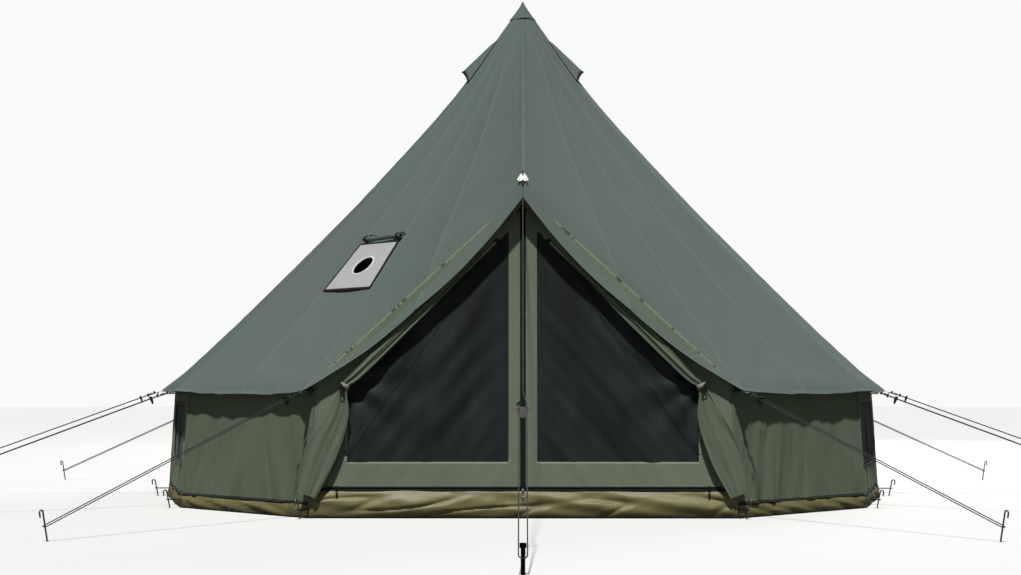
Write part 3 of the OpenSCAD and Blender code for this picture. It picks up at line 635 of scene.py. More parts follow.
def ridge_rail(s):
    y = pchip(s, KNOTS, (-0.045, -0.13, -0.9022, -1.6745, -1.7945))
    z = pchip(s, KNOTS, (2.79, 2.672, 2.126, APEX_Z, TIP_Z))
    return np.stack([0 * y, y, z], 1)


def roof_height(r):
    """Height of the roof's corner lines at a radius."""
    s = np.interp((np.asarray(r, float) - PEAK_R) / (EAVE_R - PEAK_R), T_FINE, S_FINE)
    return pchip(s, KNOTS, STEPS_Z)


def stove_frame():
    """Origin and axes of the stove port's side: X along the eave from the middle seam, Y up the slope, Z out."""
    az = (STOVE_SIDE + 0.5) * STEP
    o = at(az, STOVE_R * math.cos(math.radians(HALF)), PATCH_Z)
    a = math.radians(az)
    x = np.array([math.cos(a), math.sin(a), 0])
    z = np.array([math.sin(a) * math.sin(STOVE_SLOPE), -math.cos(a) * math.sin(STOVE_SLOPE), math.cos(STOVE_SLOPE)])
    return o, x, np.cross(z, x), z


PORT_O, PORT_X, PORT_Y, PORT_N = stove_frame()
PIPE = PORT_O + PORT_X * STRIP_W / 2


def vent_frame(k):
    r = 0.292
    o = at(k * STEP, r, roof_height(r))
    lean = math.atan2(STEPS_Z[0] - STEPS_Z[1], 0.16 * (EAVE_R - PEAK_R))
    a = math.radians(k * STEP)
    x = np.array([math.cos(a), math.sin(a), 0])
    n = np.array([math.sin(a) * math.sin(lean), -math.cos(a) * math.sin(lean), math.cos(lean)])
    return o, x, np.cross(n, x), n


ROWS_T = np.concatenate([[0, 0.006, 0.014], np.linspace(0.024, 0.982, 84), [0.9885, 0.9925, 0.9932, 0.9985, 1]])
ROWS_S = np.interp(ROWS_T, T_FINE, S_FINE)
rails = [ridge_rail(ROWS_S)] + [corner_rail(k * STEP, ROWS_S) for k in range(1, 12)] + [ridge_rail(ROWS_S)]
columns, seam, share, side_of = [], [], [], []
for k in range(12):
    mid = (rails[k] + rails[k + 1]) / 2
    for g, (a, b) in enumerate(((rails[k], mid), (mid, rails[k + 1]))):
        w = np.linalg.norm(b - a, axis=1)
        d1, d2 = np.minimum(0.007, 0.12 * w) / w, np.minimum(0.0135, 0.24 * w) / w
        cuts = [0 * d1, d1, d2] + [d2 + (1 - 2 * d2) * i / 9 for i in range(1, 9)] + [1 - d2, 1 - d1]
        for f in cuts:
            columns.append(a + (b - a) * f[:, None])
            seam.append(np.minimum(f, 1 - f) * w)
            share.append(f)
            side_of.append((k, (g + f) / 2))
roof = np.stack(columns, 1)
seam, share = np.stack(seam, 1), np.stack(share, 1)
side_k = np.array([k for k, _ in side_of])
side_f = np.stack([f for _, f in side_of], 1)
normal = -grid_normals(roof, closed=True)
if normal[40, 40] @ roof[40, 40] < 0:
    normal = -normal
slope_run = run_along(corner_rail(30, ROWS_S))
down = np.broadcast_to(slope_run[:, None], seam.shape)
from_hem = slope_run[-1] - down
round_run = run_along(roof[-1])
around = np.broadcast_to(round_run[None], seam.shape)
gore_w = np.minimum(1, ROWS_T * 2.2 + 0.05)[:, None]
front = np.isin(side_k, (0, 11))[None] * 1.0
to_corner = np.where(side_k[None] == 11, 1 - side_f, side_f)  # 0 at the ridge and 1 at the front corners
lift = -0.0075 * np.sin(math.pi * share) * gore_w
lift = lift + 0.0013 * (seam <= 0.0071)
lift = lift + 0.0022 * gore_w * ripple(around * 2.6, down * 0.7, 3)
lift = lift + 0.0009 * ripple(around * 11, down * 2.6, 4) * gore_w
# Short puckers across the seams, and folds that run up from each guyed corner
pucker = np.exp(-((seam / 0.05) ** 2)) * ripple(around * 0.8, down * 19, 5, low=0.8, high=1.6)
lift = lift + 0.0011 * pucker * ease(ROWS_T, 0.05, 0.2)[:, None]
corner_f = np.minimum(side_f, 1 - side_f)
to_guy = np.hypot(corner_f * SIDE_W * 0.9, from_hem)
angle = np.arctan2(corner_f * SIDE_W, from_hem + 0.02)
guyed = 1 - (front * (to_corner < 0.5))
fold = np.exp(-to_guy / 0.42) * np.sin(angle * 11 + 0.8 * ripple(around * 2, down * 2, 6)) * ease(to_guy, 0.02, 0.14)
lift = lift + 0.0075 * fold * guyed
# Long folds beside the front edges
along_front = from_hem * front
lift = lift + (
    front * 0.006 * np.exp(-along_front / 0.3) * np.sin(along_front * 38 + to_corner * 9)
    * ease(to_corner, 0.25, 0.6) * ease(from_hem, 0.0, 0.05)
)
# The walls' top edge holds the roof where it is sewn on
wall_line = np.exp(-(((ROWS_T - (PLAN_R - PEAK_R) / (EAVE_R - PEAK_R)) / 0.022) ** 2))[:, None] * (1 - front)
lift = lift * (1 - 0.9 * wall_line)
roof = roof + normal * lift[..., None]
# The eave hangs in shallow waves between the guys, and the front edges in a deeper curve
hang = ease(ROWS_T, 0.972, 1.0)[:, None]
wavy = 0.006 * ripple(around * 7, 0 * around, 7) * ease(corner_f, 0.02, 0.12)
roof[..., 2] -= (1 - front) * hang * (0.012 * np.sin(math.pi * side_f) - 0.5 * wavy)
roof[..., :2] += ((1 - front) * hang * wavy)[..., None] * unit(roof[..., :2])
drop = front * np.sin(math.pi * to_corner**0.85) ** 1.1 * ease(ROWS_T, 0.7, 1.0)[:, None] ** 1.5
roof[..., 2] -= 0.082 * drop
roof[..., 1] -= 0.004 * drop
corner_out = ease(ROWS_T, 0.93, 1.0)[:, None] * np.exp(-((corner_f * SIDE_W / 0.035) ** 2)) * guyed
roof[..., :2] += (0.022 * corner_out)[..., None] * unit(roof[..., :2])

faces = np.array(grid_faces(*seam.shape, closed=True, flip=True))
flat_roof = roof.reshape(-1, 3)
gone = np.zeros(len(flat_roof), bool)
rounds = [(PIPE, PORT_X, PORT_Y, PIPE_R + 0.012)] + [(*vent_frame(k)[:3], 0.045) for k in VENTS]
for o, x, y, r in rounds:
    rel = flat_roof - o
    u, v = rel @ x, rel @ y
    near = (np.hypot(u, v) < r) & (np.abs(rel @ np.cross(x, y)) < 0.08)
    touched = np.unique(faces[near[faces].any(1)])
    gone |= near
    for i in touched[~near[touched]]:
        a = math.atan2(v[i], u[i])
        flat_roof[i] += x * (r * math.cos(a) - u[i]) + y * (r * math.sin(a) - v[i])
faces = faces[~gone[faces].any(1)]
used, index = np.unique(faces, return_inverse=True)
edge = np.minimum(seam, np.maximum(from_hem - 0.009, 0)).ravel()
uv = np.stack([around.ravel(), down.ravel()], 1)
roof_cloth = piece(
    "roof", "tent", flat_roof[used], index.reshape(-1, 4), "roof", uv[used], edge[used], thick=ROOF_T,
    stands_for=["roof_gores"],
)

# Cap over the peak, in twelve small gores with a turned hem
rows, cols = 22, 72
v = np.linspace(0, 1, rows)[:, None]
a = np.linspace(0, 360, cols, endpoint=False)[None]
lobed = np.abs(np.sin(np.radians(a * 6)))
r = 0.004 + 0.073 * v**1.12 - 0.0022 * lobed * v - 0.0018 * np.exp(-(((v - 0.86) / 0.03) ** 2))
z = 2.862 - 0.107 * v**0.93 + 0.0035 * np.sin(np.radians(a * 3 + 40)) * v**3
cap = at(a, r, z)
o = piece(
    "peak_cap_canvas", "tent", cap.reshape(-1, 3), grid_faces(rows, cols, closed=True, flip=True), "roof",
    np.stack([(np.radians(a) * 0.075 + 0 * v).ravel(), (v * 0.13 + 0 * a).ravel()], 1),
    (np.minimum((1 - v) * 0.13, 0.03) + 0 * a).ravel(), thick=0.002, stands_for=["peak_cap"],
)
button = [box_mesh((0.006, 0.012, 0.004), (0, 0, 2.8635), bevel=0.8)]
for i in range(3):
    t = np.radians(np.linspace(0, 330, 14) + 120 * i)
    coil = np.stack([0.0055 * np.cos(t), 0.0055 * np.sin(t), 2.8625 - 0.002 * i + 0 * t], 1)
    button.append(tube(coil, 0.0016, (0, 0, 1), 6))
verts, faces_ = join(button)
piece("peak_cap_tip", "tent", verts, faces_, "webbing")

# Vent hoods: an arched visor, wired along its lip, over a netted hole
for k in VENTS:
    az0, rows, cols = k * STEP, 18, 33
    v = np.linspace(0, 1, rows)[:, None]
    q = np.linspace(-1, 1, cols)[None]
    r = 0.162 + 0.185 * (1 - v) + 0.004 * (1 - v) * np.cos(q * 1.4)
    az = az0 + q * (24 - 2 * v)
    arch = 0.007 + 0.083 * (1 - np.abs(q) ** 2.6) * (1 - v) ** 0.82
    flat_r = r * math.cos(math.radians(HALF)) / np.cos(np.radians(np.abs(np.abs(q * (24 - 2 * v)) - HALF)))
    p = at(az, flat_r, roof_height(r) + arch + 0.0016 * ripple(q * 4, v * 3, 20 + k) * (1 - v))
    lip = p[0]
    hood = piece(
        f"vent_hood_{k:02d}", "tent", p.reshape(-1, 3), grid_faces(rows, cols), "roof",
        np.stack([(q * 0.16 + 0 * v).ravel(), (v * 0.2 + 0 * q).ravel()], 1),
        np.minimum((1 - np.abs(q)) * 0.15 + 0 * v, v * 0.2 + 0 * q).ravel(), thick=ROOF_T,
        stands_for=["vent_hoods"] if k == 3 else (),
    )
    out = unit(at(az0, 1, 0))
    verts, faces_ = tube(lip + out * 0.001, 0.0042, out, 9)
    piece(f"vent_piping_{k:02d}", "tent", verts, faces_, "tape")
    o, x, y, n = vent_frame(k)
    t = np.radians(np.linspace(0, 360, 36, endpoint=False))
    rim = [(0.047 * math.cos(b), 0.047 * math.sin(b)) for b in t]
    pts, tris, dist = panel(rim, step=0.012)
    bulge = -0.004 - 0.05 * np.clip(0.0022 - (pts**2).sum(1), 0, 1)
    bend = -np.abs(pts[:, 0]) * math.tan(math.radians(13))
    net = o + np.outer(pts[:, 0], x) + np.outer(pts[:, 1], y) + np.outer(bulge + bend * 0.4, n)
    netting = piece(f"vent_net_{k:02d}", "tent", net, tris, "net", pts, dist)

# ---- Stove port ----
def on_port(x, y, out, origin=PORT_O):
    return origin + np.outer(x, PORT_X) + np.outer(y, PORT_Y) + np.outer(out, PORT_N)


def strip(margin, length):
    lean = STRIP_TAPER * length / 2
    return np.array([
        [margin, -length / 2], [STRIP_W + lean - margin, -length / 2],
        [STRIP_W - lean - margin, length / 2], [margin, length / 2],
    ])


t = np.radians(np.linspace(0, 360, 56, endpoint=False))
hole = np.stack([STRIP_W / 2 + PIPE_R * np.cos(t), PIPE_R * np.sin(t)], 1)
pts, tris, dist = panel(strip(PATCH_MARGIN, PATCH_L), [hole], step=0.012)
swell = 0.0026 + 0.0022 * ripple(pts[:, 0] * 9, pts[:, 1] * 9, 31) * ease(dist, 0, 0.04)
patch = piece(
    "stove_patch_cloth", "tent", on_port(pts[:, 0], pts[:, 1], swell), tris, "glass", pts, dist, thick=WALL_T,
    stands_for=["stove_patch"],
)
# Binding tape round the patch, folded over its edge
outer, inner = strip(PATCH_MARGIN - BINDING, PATCH_L + 2 * BINDING), strip(PATCH_MARGIN + 0.001, PATCH_L - 0.002)
rows_ = []
for inwards, high in ((0, 0.0004), (0.06, 0.0036), (0.5, 0.0048), (0.94, 0.0048), (1, 0.0034)):
    x, y = walk(outer + (inner - outer) * inwards, lambda length: 24).T
    rows_.append(on_port(x, y, high + 0.0006 * ripple(x * 20, y * 20, 32)))
band("stove_patch_binding", "tent", rows_, "tape", np.arange(len(x)) * 0.015, 0.003, closed=True,
     stands_for=["stove_binding"])
# A pale stitched ring round the pipe hole
rows_ = [
    on_port(STRIP_W / 2 + (PIPE_R + grow) * np.cos(t), (PIPE_R + grow) * np.sin(t), np.full(len(t), high))
    for grow, high in ((-0.0005, 0.001), (0, 0.0045), (0.005, 0.0052), (0.010, 0.0048), (0.0115, 0.003))
]
band("stove_hole_ring", "tent", rows_, "thread", t * 0.055, 0.003, closed=True, flip=True)


def toggle_bar(x, r, half, groove):
    """A toggle's radius along it: round ends, and a groove for its cord."""
    return r * np.clip(1 - (np.abs(x) / half) ** 5, 0.05, 1) - groove * np.exp(-((x / 0.004) ** 2))


# The cover flap, rolled up above the patch: a spiral of cloth, tied at both ends
ROLL_L, ROLL_Y, ROLL_R = STRIP_W - 0.06, PATCH_L / 2 + 0.012 + 0.018, 0.0155
ROLL_OUT, TIE_R = ROLL_R + 0.0015, 0.0148
turns = np.linspace(0, TAU * 3.2, 90)
spiral_r = 0.003 + (ROLL_R - 0.004) * turns / turns[-1]
xs = np.linspace(-ROLL_L / 2, ROLL_L / 2, 44)
pinch = 1 - 0.24 * np.exp(-(((np.abs(xs) - 0.42 * ROLL_L) / 0.012) ** 2))
wob = 1 + 0.06 * ripple(xs[:, None] * 22, turns[None] * 0.5, 33)
ry = spiral_r * np.cos(turns - turns[-1] - 1.6)
rz = spiral_r * np.sin(turns - turns[-1] - 1.6)
px = np.repeat(xs, len(turns))
py = ROLL_Y + (ry[None] * pinch[:, None] * wob).ravel() + np.repeat(0.003 * np.sin(xs * 24), len(turns))
pz = ROLL_OUT + (rz[None] * pinch[:, None] * wob).ravel()
flap = piece(
    "stove_flap_roll", "tent", on_port(px + STRIP_W / 2, py, pz), grid_faces(len(xs), len(turns)), "roof",
    np.stack([px, np.tile(turns * 0.006, len(xs))], 1), np.full(len(px), 0.05), stands_for=["stove_flap"],
)
fittings = []
for sgn in (-1, 1):
    t = np.radians(np.linspace(0, 360, 30))
    x0 = STRIP_W / 2 + sgn * 0.42 * ROLL_L
    for dx in (-0.0045, 0, 0.0045):
        loop = on_port(x0 + dx + 0 * t, ROLL_Y + TIE_R * np.cos(t), ROLL_OUT + TIE_R * np.sin(t))
        fittings.append(tube(loop, 0.0024, PORT_X, 7))
    # A cord loop and a round-ended toggle above each end of the roll
    t = np.radians(np.linspace(200, 520, 34))
    loop = on_port(x0 + 0.017 * np.cos(t) * (1 + 0.2 * sgn), ROLL_Y + 0.024 + 0.016 * np.sin(t), 0.006 + 0 * t)
    fittings.append(tube(loop, 0.0032, PORT_N, 8))
    bar_x = np.linspace(-0.02, 0.02, 13)
    bar = on_port(x0 - sgn * 0.035 + bar_x, ROLL_Y + 0.021 + bar_x * 0.35, 0.009 + 0 * bar_x)
    fittings.append(tube(bar, toggle_bar(bar_x, 0.0068, 0.021, 0.0022), PORT_N, 10))
verts, faces_ = join(fittings)
piece("stove_flap_ties", "tent", verts, faces_, "plastic", stands_for=["toggles"])


# ---- Walls ----
def wall_r(z):
    return BASE_R - (BASE_R - PLAN_R) * z / WALL_TOP


def on_wall(k, f, z, out):
    """Points on wall side k: f runs from corner k to k + 1, out is away from the tent."""
    a, b = at(k * STEP, wall_r(z), z), at((k + 1) * STEP, wall_r(z), z)
    n = at((k + 0.5) * STEP, 1.0, 0)
    return a + (b - a) * np.asarray(f)[..., None] + n * np.asarray(out)[..., None]


def wall_folds(k, u, z):
    """How far the wall's cloth stands out: loose at the hem, pulled tight at the corners and the eave."""
    f = u / SIDE_W
    held = ease(f, 0, 0.05) * ease(1 - f, 0, 0.05)
    low = ease(0.6 - z, 0.0, 0.45)
    lean = u + 0.22 * (z - 0.3) * np.tanh((f - 0.5) * 5)
    long = ripple(lean * 7.5, z * 1.1, 40 + k)
    fine = ripple(lean * 22, z * 3.4, 60 + k)
    sharp = np.abs(ripple(lean * 5.5 + 0.3, z * 0.9, 80 + k))
    hem = np.exp(-((z - HEM_Z) / 0.05) ** 2)
    return held * (
        0.0075 * (0.35 + low) * long + 0.0024 * fine * (0.3 + low)
        - 0.008 * np.exp(-((sharp / 0.16) ** 2)) * (0.25 + 0.75 * low) + 0.004 * hem * ripple(u * 14, z, 100 + k)
        - 0.006 * np.sin(math.pi * f) * np.sin(math.pi * np.clip(z / 0.65, 0, 1))
    )


def on_cloth(k, flat, out=0.0):
    """Flat points (along the side, height) laid on the folded cloth of wall side k."""
    u, z = flat[:, 0], flat[:, 1]
    return on_wall(k, u / WALL_W, z, wall_folds(k, u, z) + out)


def window_ring(grow, r, n=5):
    x0 = (WALL_W - WINDOW_W) / 2
    return rounded(x0 - grow, WINDOW_Z - grow, x0 + WINDOW_W + grow, WINDOW_Z + WINDOW_H + grow, r, n)


wall_parts, wall_uv, wall_edge = [], [], []
for k in range(1, 11):
    x0, x1, z0, z1 = CORNER_GAP, WALL_W - CORNER_GAP, HEM_Z - 0.006, WALL_TOP - 0.006
    holes = [window_ring(0, 0.03)] if k in WINDOWS else []
    pts, tris, dist = panel([(x0, z0), (x1, z0), (x1, z1), (x0, z1)], holes, step=0.0165)
    wall_parts.append((on_cloth(k, pts), tris))
    wall_uv.append(pts + [k * WALL_W, 0])
    wall_edge.append(dist)
for k in WINDOWS:
    pts, tris, dist = panel(window_ring(0.014, 0.044), step=0.0175)
    net = piece(f"window_net_{k:02d}", "tent", on_cloth(k, pts, -0.0026), tris, "net", pts, dist)
    # Tape round the window, with a pale zip line on it
    for name, look, grow, half_w, high in (
        ("window_tape", "tape", 0.006, 0.012, 0.002), ("window_zip", "binding", 0.021, 0.0025, 0.0032),
    ):
        line = walk(window_ring(grow, 0.03 + grow, 6), lambda length: max(1, int(length / 0.02)))
        tan = unit(np.roll(line, -1, 0) - np.roll(line, 1, 0))
        nrm = np.stack([tan[:, 1], -tan[:, 0]], 1)
        profile = ((-1, 0.0002), (-0.9, high), (0.9, high), (1, 0.0002))
        rows_ = [on_cloth(k, line + nrm * half_w * off, out) for off, out in profile]
        band(f"{name}_{k:02d}", "tent", rows_, look, np.arange(len(line)) * 0.02, 0.008, closed=True)
verts, faces_ = join(wall_parts)
walls = piece(
    "wall_cloth", "tent", verts, faces_, "wall", np.concatenate(wall_uv), np.concatenate(wall_edge), thick=WALL_T,
    stands_for=["wall_panels"],
)

# Corner reinforcements: a taped seam down each wall corner
for k in range(1, 12):
    z = np.linspace(HEM_Z, WALL_TOP - 0.01, 24)
    o_ = at(k * STEP, wall_r(z), z)
    out, sideways = at(k * STEP, 1.0, 0), at(k * STEP + 90, 1.0, 0)
    rows_ = []
    for w_, high in ((-0.011, -0.0025), (-0.010, 0.0004), (0, 0.0028), (0.010, 0.0004), (0.011, -0.0025)):
        rows_.append(o_ + sideways * w_ + out * (high + 0.001 * ripple(z * 18, 0 * z, 120 + k))[:, None])
    band(f"wall_seam_{k:02d}", "tent", rows_, "wall", flip=True)

# A dark zip under the eave joins the wall to the roof, and another joins it to the groundsheet. The eave zip is made
# deep, with a wavy lower edge, so it also serves as painted shade: the eave's shadow on the wall
ZIP_ROWS = ((0, 0.0006), (0.08, 0.0036), (0.42, 0.0036), (0.5, 0.0062), (0.58, 0.0036), (1, 0.0008))
for name, z0, z1, seed, more in (
    ("eave_zip_and_painted_shade", 0.598, 0.639, 140, {}), ("ground_zip", 0.0585, 0.0755, 150, {"stands_for": ["groundsheet_zip"]}),
):
    rows_ = [[] for _ in ZIP_ROWS]
    for k in range(1, 11):
        f = np.linspace(0, 1, 40)[: 40 if k == 10 else -1]
        folds = wall_folds(k, f * SIDE_W, np.full(len(f), max(z0, HEM_Z)))
        for row, (up, high) in zip(rows_, ZIP_ROWS):
            # The eave zip's lower edge waves like the edge of the eave's shadow: a painted shadow edge
            loose = 0.004 * ripple(f * 5, 0 * f, seed + k) if name == "eave_zip_and_painted_shade" and up < 0.1 else 0
            row.append(on_wall(k, f, z0 + (z1 - z0) * up + loose + 0 * f, high + folds))
    band(name, "tent", [np.concatenate(row) for row in rows_], "tape", flip=True, **more)

# ---- Groundsheet ----
def rim_out(k, u, z, top):
    """The rim's cloth bellies out between its top edge and the ground."""
    v = z / top
    belly = np.sin(math.pi * np.clip(v, 0, 1)) ** 0.8
    folds = ripple(u * 6 + 1.5 * v, v * 0.8, 160 + k)
    creases = np.exp(-((ripple(u * 4.2 + 0.8 * v, v, 180 + k) / 0.14) ** 2))
    return belly * (0.011 + 0.007 * folds - 0.007 * creases) + 0.003 * (1 - v)


rim_parts, rim_uv = [], []
for k in range(1, 11):
    f = np.linspace(0.0006, 0.9994, 90)
    z = np.array([0.0005, 0.006, 0.013, 0.021, 0.03, 0.039, 0.048, 0.055, RIM_TOP])
    F, Z = np.meshgrid(f, z)
    held = ease(F, 0, 0.03) * ease(1 - F, 0, 0.03)
    out = rim_out(k, F * SIDE_W, Z, RIM_TOP) * (0.3 + 0.7 * held) + 0.002
    z_top = Z + 0.004 * ripple(F * 7, 0 * F, 200 + k) * held * (Z > 0.05)
    p = on_wall(k, F, z_top, out)
    rim_parts.append((p.reshape(-1, 3), grid_faces(len(z), len(f), flip=True)))
    rim_uv.append(np.stack([(F * SIDE_W + k).ravel(), Z.ravel()], 1))


def on_door(x, s, out):
    """Points on the doorway: x across, s up its plane, out in front of it."""
    x, s, out = np.broadcast_arrays(np.asarray(x, float), np.asarray(s, float), np.asarray(out, float))
    c, sn = math.cos(DOOR_LEAN), math.sin(DOOR_LEAN)
    return np.stack([x, DOOR_Y + s * sn - out * c, s * c + out * sn], -1)


x = np.linspace(-DOOR_HALF, DOOR_HALF, 200)
s = np.concatenate([[0.0005, 0.005], np.linspace(0.012, 0.122, 20), [0.128, THRESHOLD_TOP]])
X, S = np.meshgrid(x, s)
v = S / THRESHOLD_TOP
held = ease(DOOR_HALF - np.abs(X), 0.0, 0.05)
long = ripple(X * 2.6 + 0.9 * v, v * 1.3, 220)
crease = np.exp(-((ripple(X * 3.1 - 1.1 * v, v * 1.2, 221) / 0.13) ** 2))
belly = np.sin(math.pi * np.clip(v, 0, 1) ** 0.9) ** 0.75
out = belly * (0.021 + 0.011 * long - 0.012 * crease + 0.003 * ripple(X * 9, v * 2, 222))
out = np.maximum(out * (0.25 + 0.75 * held) + 0.0015, 0.0008)
p = on_door(X, S - 0.0035 * ease(v, 0.9, 1) * (0.5 + ripple(X * 4, 0 * X, 223)) * held, out)
p[..., 2] = np.maximum(p[..., 2], 0.0004)
rim_parts.append((p.reshape(-1, 3), grid_faces(len(s), len(x), flip=True)))
rim_uv.append(np.stack([X.ravel(), S.ravel()], 1))
floor_ring = [tuple(at(k * STEP, BASE_R - 0.001, 0)[:2]) for k in range(1, 12)]
pts, tris, dist = panel(floor_ring, step=0.09)
lift = 0.002 + 0.0035 * np.clip(ripple(pts[:, 0] * 3, pts[:, 1] * 3, 230), 0, 1) * ease(dist, 0.02, 0.2)
rim_parts.append((np.column_stack([pts, lift]), tris))
rim_uv.append(pts)
verts, faces_ = join(rim_parts)
sheet = piece("groundsheet_cloth", "tent", verts, faces_, "sheet", np.concatenate(rim_uv), stands_for=["groundsheet"])
# Its black lower edge: partly its black underside, partly painted contact shadow along the ground
f, x = np.linspace(0, 1, 24)[:-1], np.linspace(-DOOR_HALF, DOOR_HALF, 60)
rows_ = []
for z_, o_ in ((0.0, 0.001), (0.0, 0.0058), (0.0075, 0.0068), (0.0095, 0.004)):
    sides = [on_wall(k, f, z_ + 0 * f, o_ + 0.002 + 0 * f) for k in range(1, 11)]
    rows_.append(np.concatenate([*sides, on_door(x, z_ + 0.0004, o_ + 0.003)]))
band("groundsheet_edge_and_contact_shadow", "tent", rows_, "tape", np.arange(len(rows_[0])) * 0.04, 0.004, closed=True, flip=True)


# ---- Doorway ----
def fold_x(s):
    return LEAF_W * (LEAF_TOP - s) / (LEAF_TOP - LEAF_BOTTOM)


def fold_s(x):
    return LEAF_TOP - x * (LEAF_TOP - LEAF_BOTTOM) / LEAF_W


MESH_IN, MESH_OUT = CENTRE_BAND + 0.003, LEAF_W - 0.11
MESH_FOOT, MESH_PEAK = LEAF_BOTTOM + FOOT_BAND, 1.365
MESH_TIP, MESH_SHOULDER = (0.084, 1.36), (0.84, 0.62)
MESH = np.array([(MESH_IN, MESH_FOOT), (MESH_OUT, MESH_FOOT), MESH_SHOULDER, MESH_TIP, (MESH_IN, MESH_PEAK)])
FOLD_N = unit([LEAF_TOP - LEAF_BOTTOM, LEAF_W])  # across the fold line, outwards
DOOR_N, DOOR_UP = on_door(0, 0, 1) - on_door(0, 0, 0), on_door(0, 1, 0) - on_door(0, 0, 0)


def cut(ring, keep_inside, gap):
    """The part of an outline on one side of the fold line moved by gap."""
    origin = np.array([0, LEAF_TOP]) + FOLD_N * gap
    d = (ring - origin) @ FOLD_N * (-1 if keep_inside else 1)
    out_ = []
    for i in range(len(ring)):
        j = (i + 1) % len(ring)
        if d[i] >= 0:
            out_.append(ring[i])
        if d[i] * d[j] < 0:
            out_.append(ring[i] + (ring[j] - ring[i]) * d[i] / (d[i] - d[j]))
    return np.array(out_)


def door_folds(x, s, sgn):
    """How far the doorway's cloth stands out: soft diagonal folds that hang from the apex and the shoulders."""
    a = np.arctan2(x, 1.75 - s)
    reach = np.hypot(x, 1.56 - s)
    hang = ease(reach, 0.15, 0.7)
    inner = ease(x, 0.03, 0.16) * ease(0.95 - x, 0.0, 0.1)
    broad = np.sin(a * 31 + 1.6 * sgn + 1.2 * ripple(x * 2, s * 1.4, 240 + int(sgn > 0)))
    fine = ripple((x + 0.75 * s) * 12, (s - 0.75 * x) * 1.6, 244 + int(sgn > 0))
    fan = np.sin(np.arctan2(x - 0.86, 0.66 - s) * 9 + sgn) * np.exp(-np.hypot(x - 0.86, s - 0.6) / 0.3)
    deep = ease(x, 0.25, 0.75) * ease(1.35 - s, 0.05, 0.6)
    return 1.5 * inner * (
        0.0055 * hang * broad * (0.35 + 0.65 * deep) + 0.0032 * fine * hang + 0.006 * fan * ease(s, 0.27, 0.4)
    )


def door_points(sgn, flat, out, amount):
    """Flat points (across, up) laid on the doorway's folded cloth, on the right (1) or the left (-1)."""
    return on_door(sgn * flat[:, 0], flat[:, 1], out + amount * door_folds(flat[:, 0], flat[:, 1], sgn))


def door_piece(sgn, name, body, ring, look, out=0.0, amount=1.0, **more):
    pts, tris, dist = panel(ring, step=0.014)
    tris = tris if sgn > 0 else tris[:, ::-1]
    return piece(name, body, door_points(sgn, pts, out, amount), tris, look, pts, dist, **more)


def tape_line(sgn, name, body, a, b, width, look="tape", base=0.0012, amount=LEAF_FOLD):
    """A tape along a straight line on the doorway."""
    a, b, high = np.array(a), np.array(b), 0.0022
    n = max(4, int(np.linalg.norm(b - a) / 0.02))
    t = unit(b - a)
    middle, sideways = a + (b - a) * np.linspace(0, 1, n)[:, None], np.array([t[1], -t[0]])
    rows = [
        door_points(sgn, middle + sideways * off * width / 2, base + up, amount)
        for off, up in ((-1, 0.0), (-0.92, high), (0.92, high), (1, 0.0))
    ]
    return band(name, body, rows, look, flip=sgn > 0)


def teeth(sgn, name, body, x, s0, s1, pitch=0.0052):
    parts = []
    for i in range(int((s1 - s0) / pitch)):
        parts.append(box_mesh((0.0034, 0.003, 0.0032), on_door(sgn * x, s0 + (i + 0.5) * pitch, 0.0028), bevel=0.5))
    verts, faces = join(parts)
    return piece(name, body, verts, faces, "plastic")


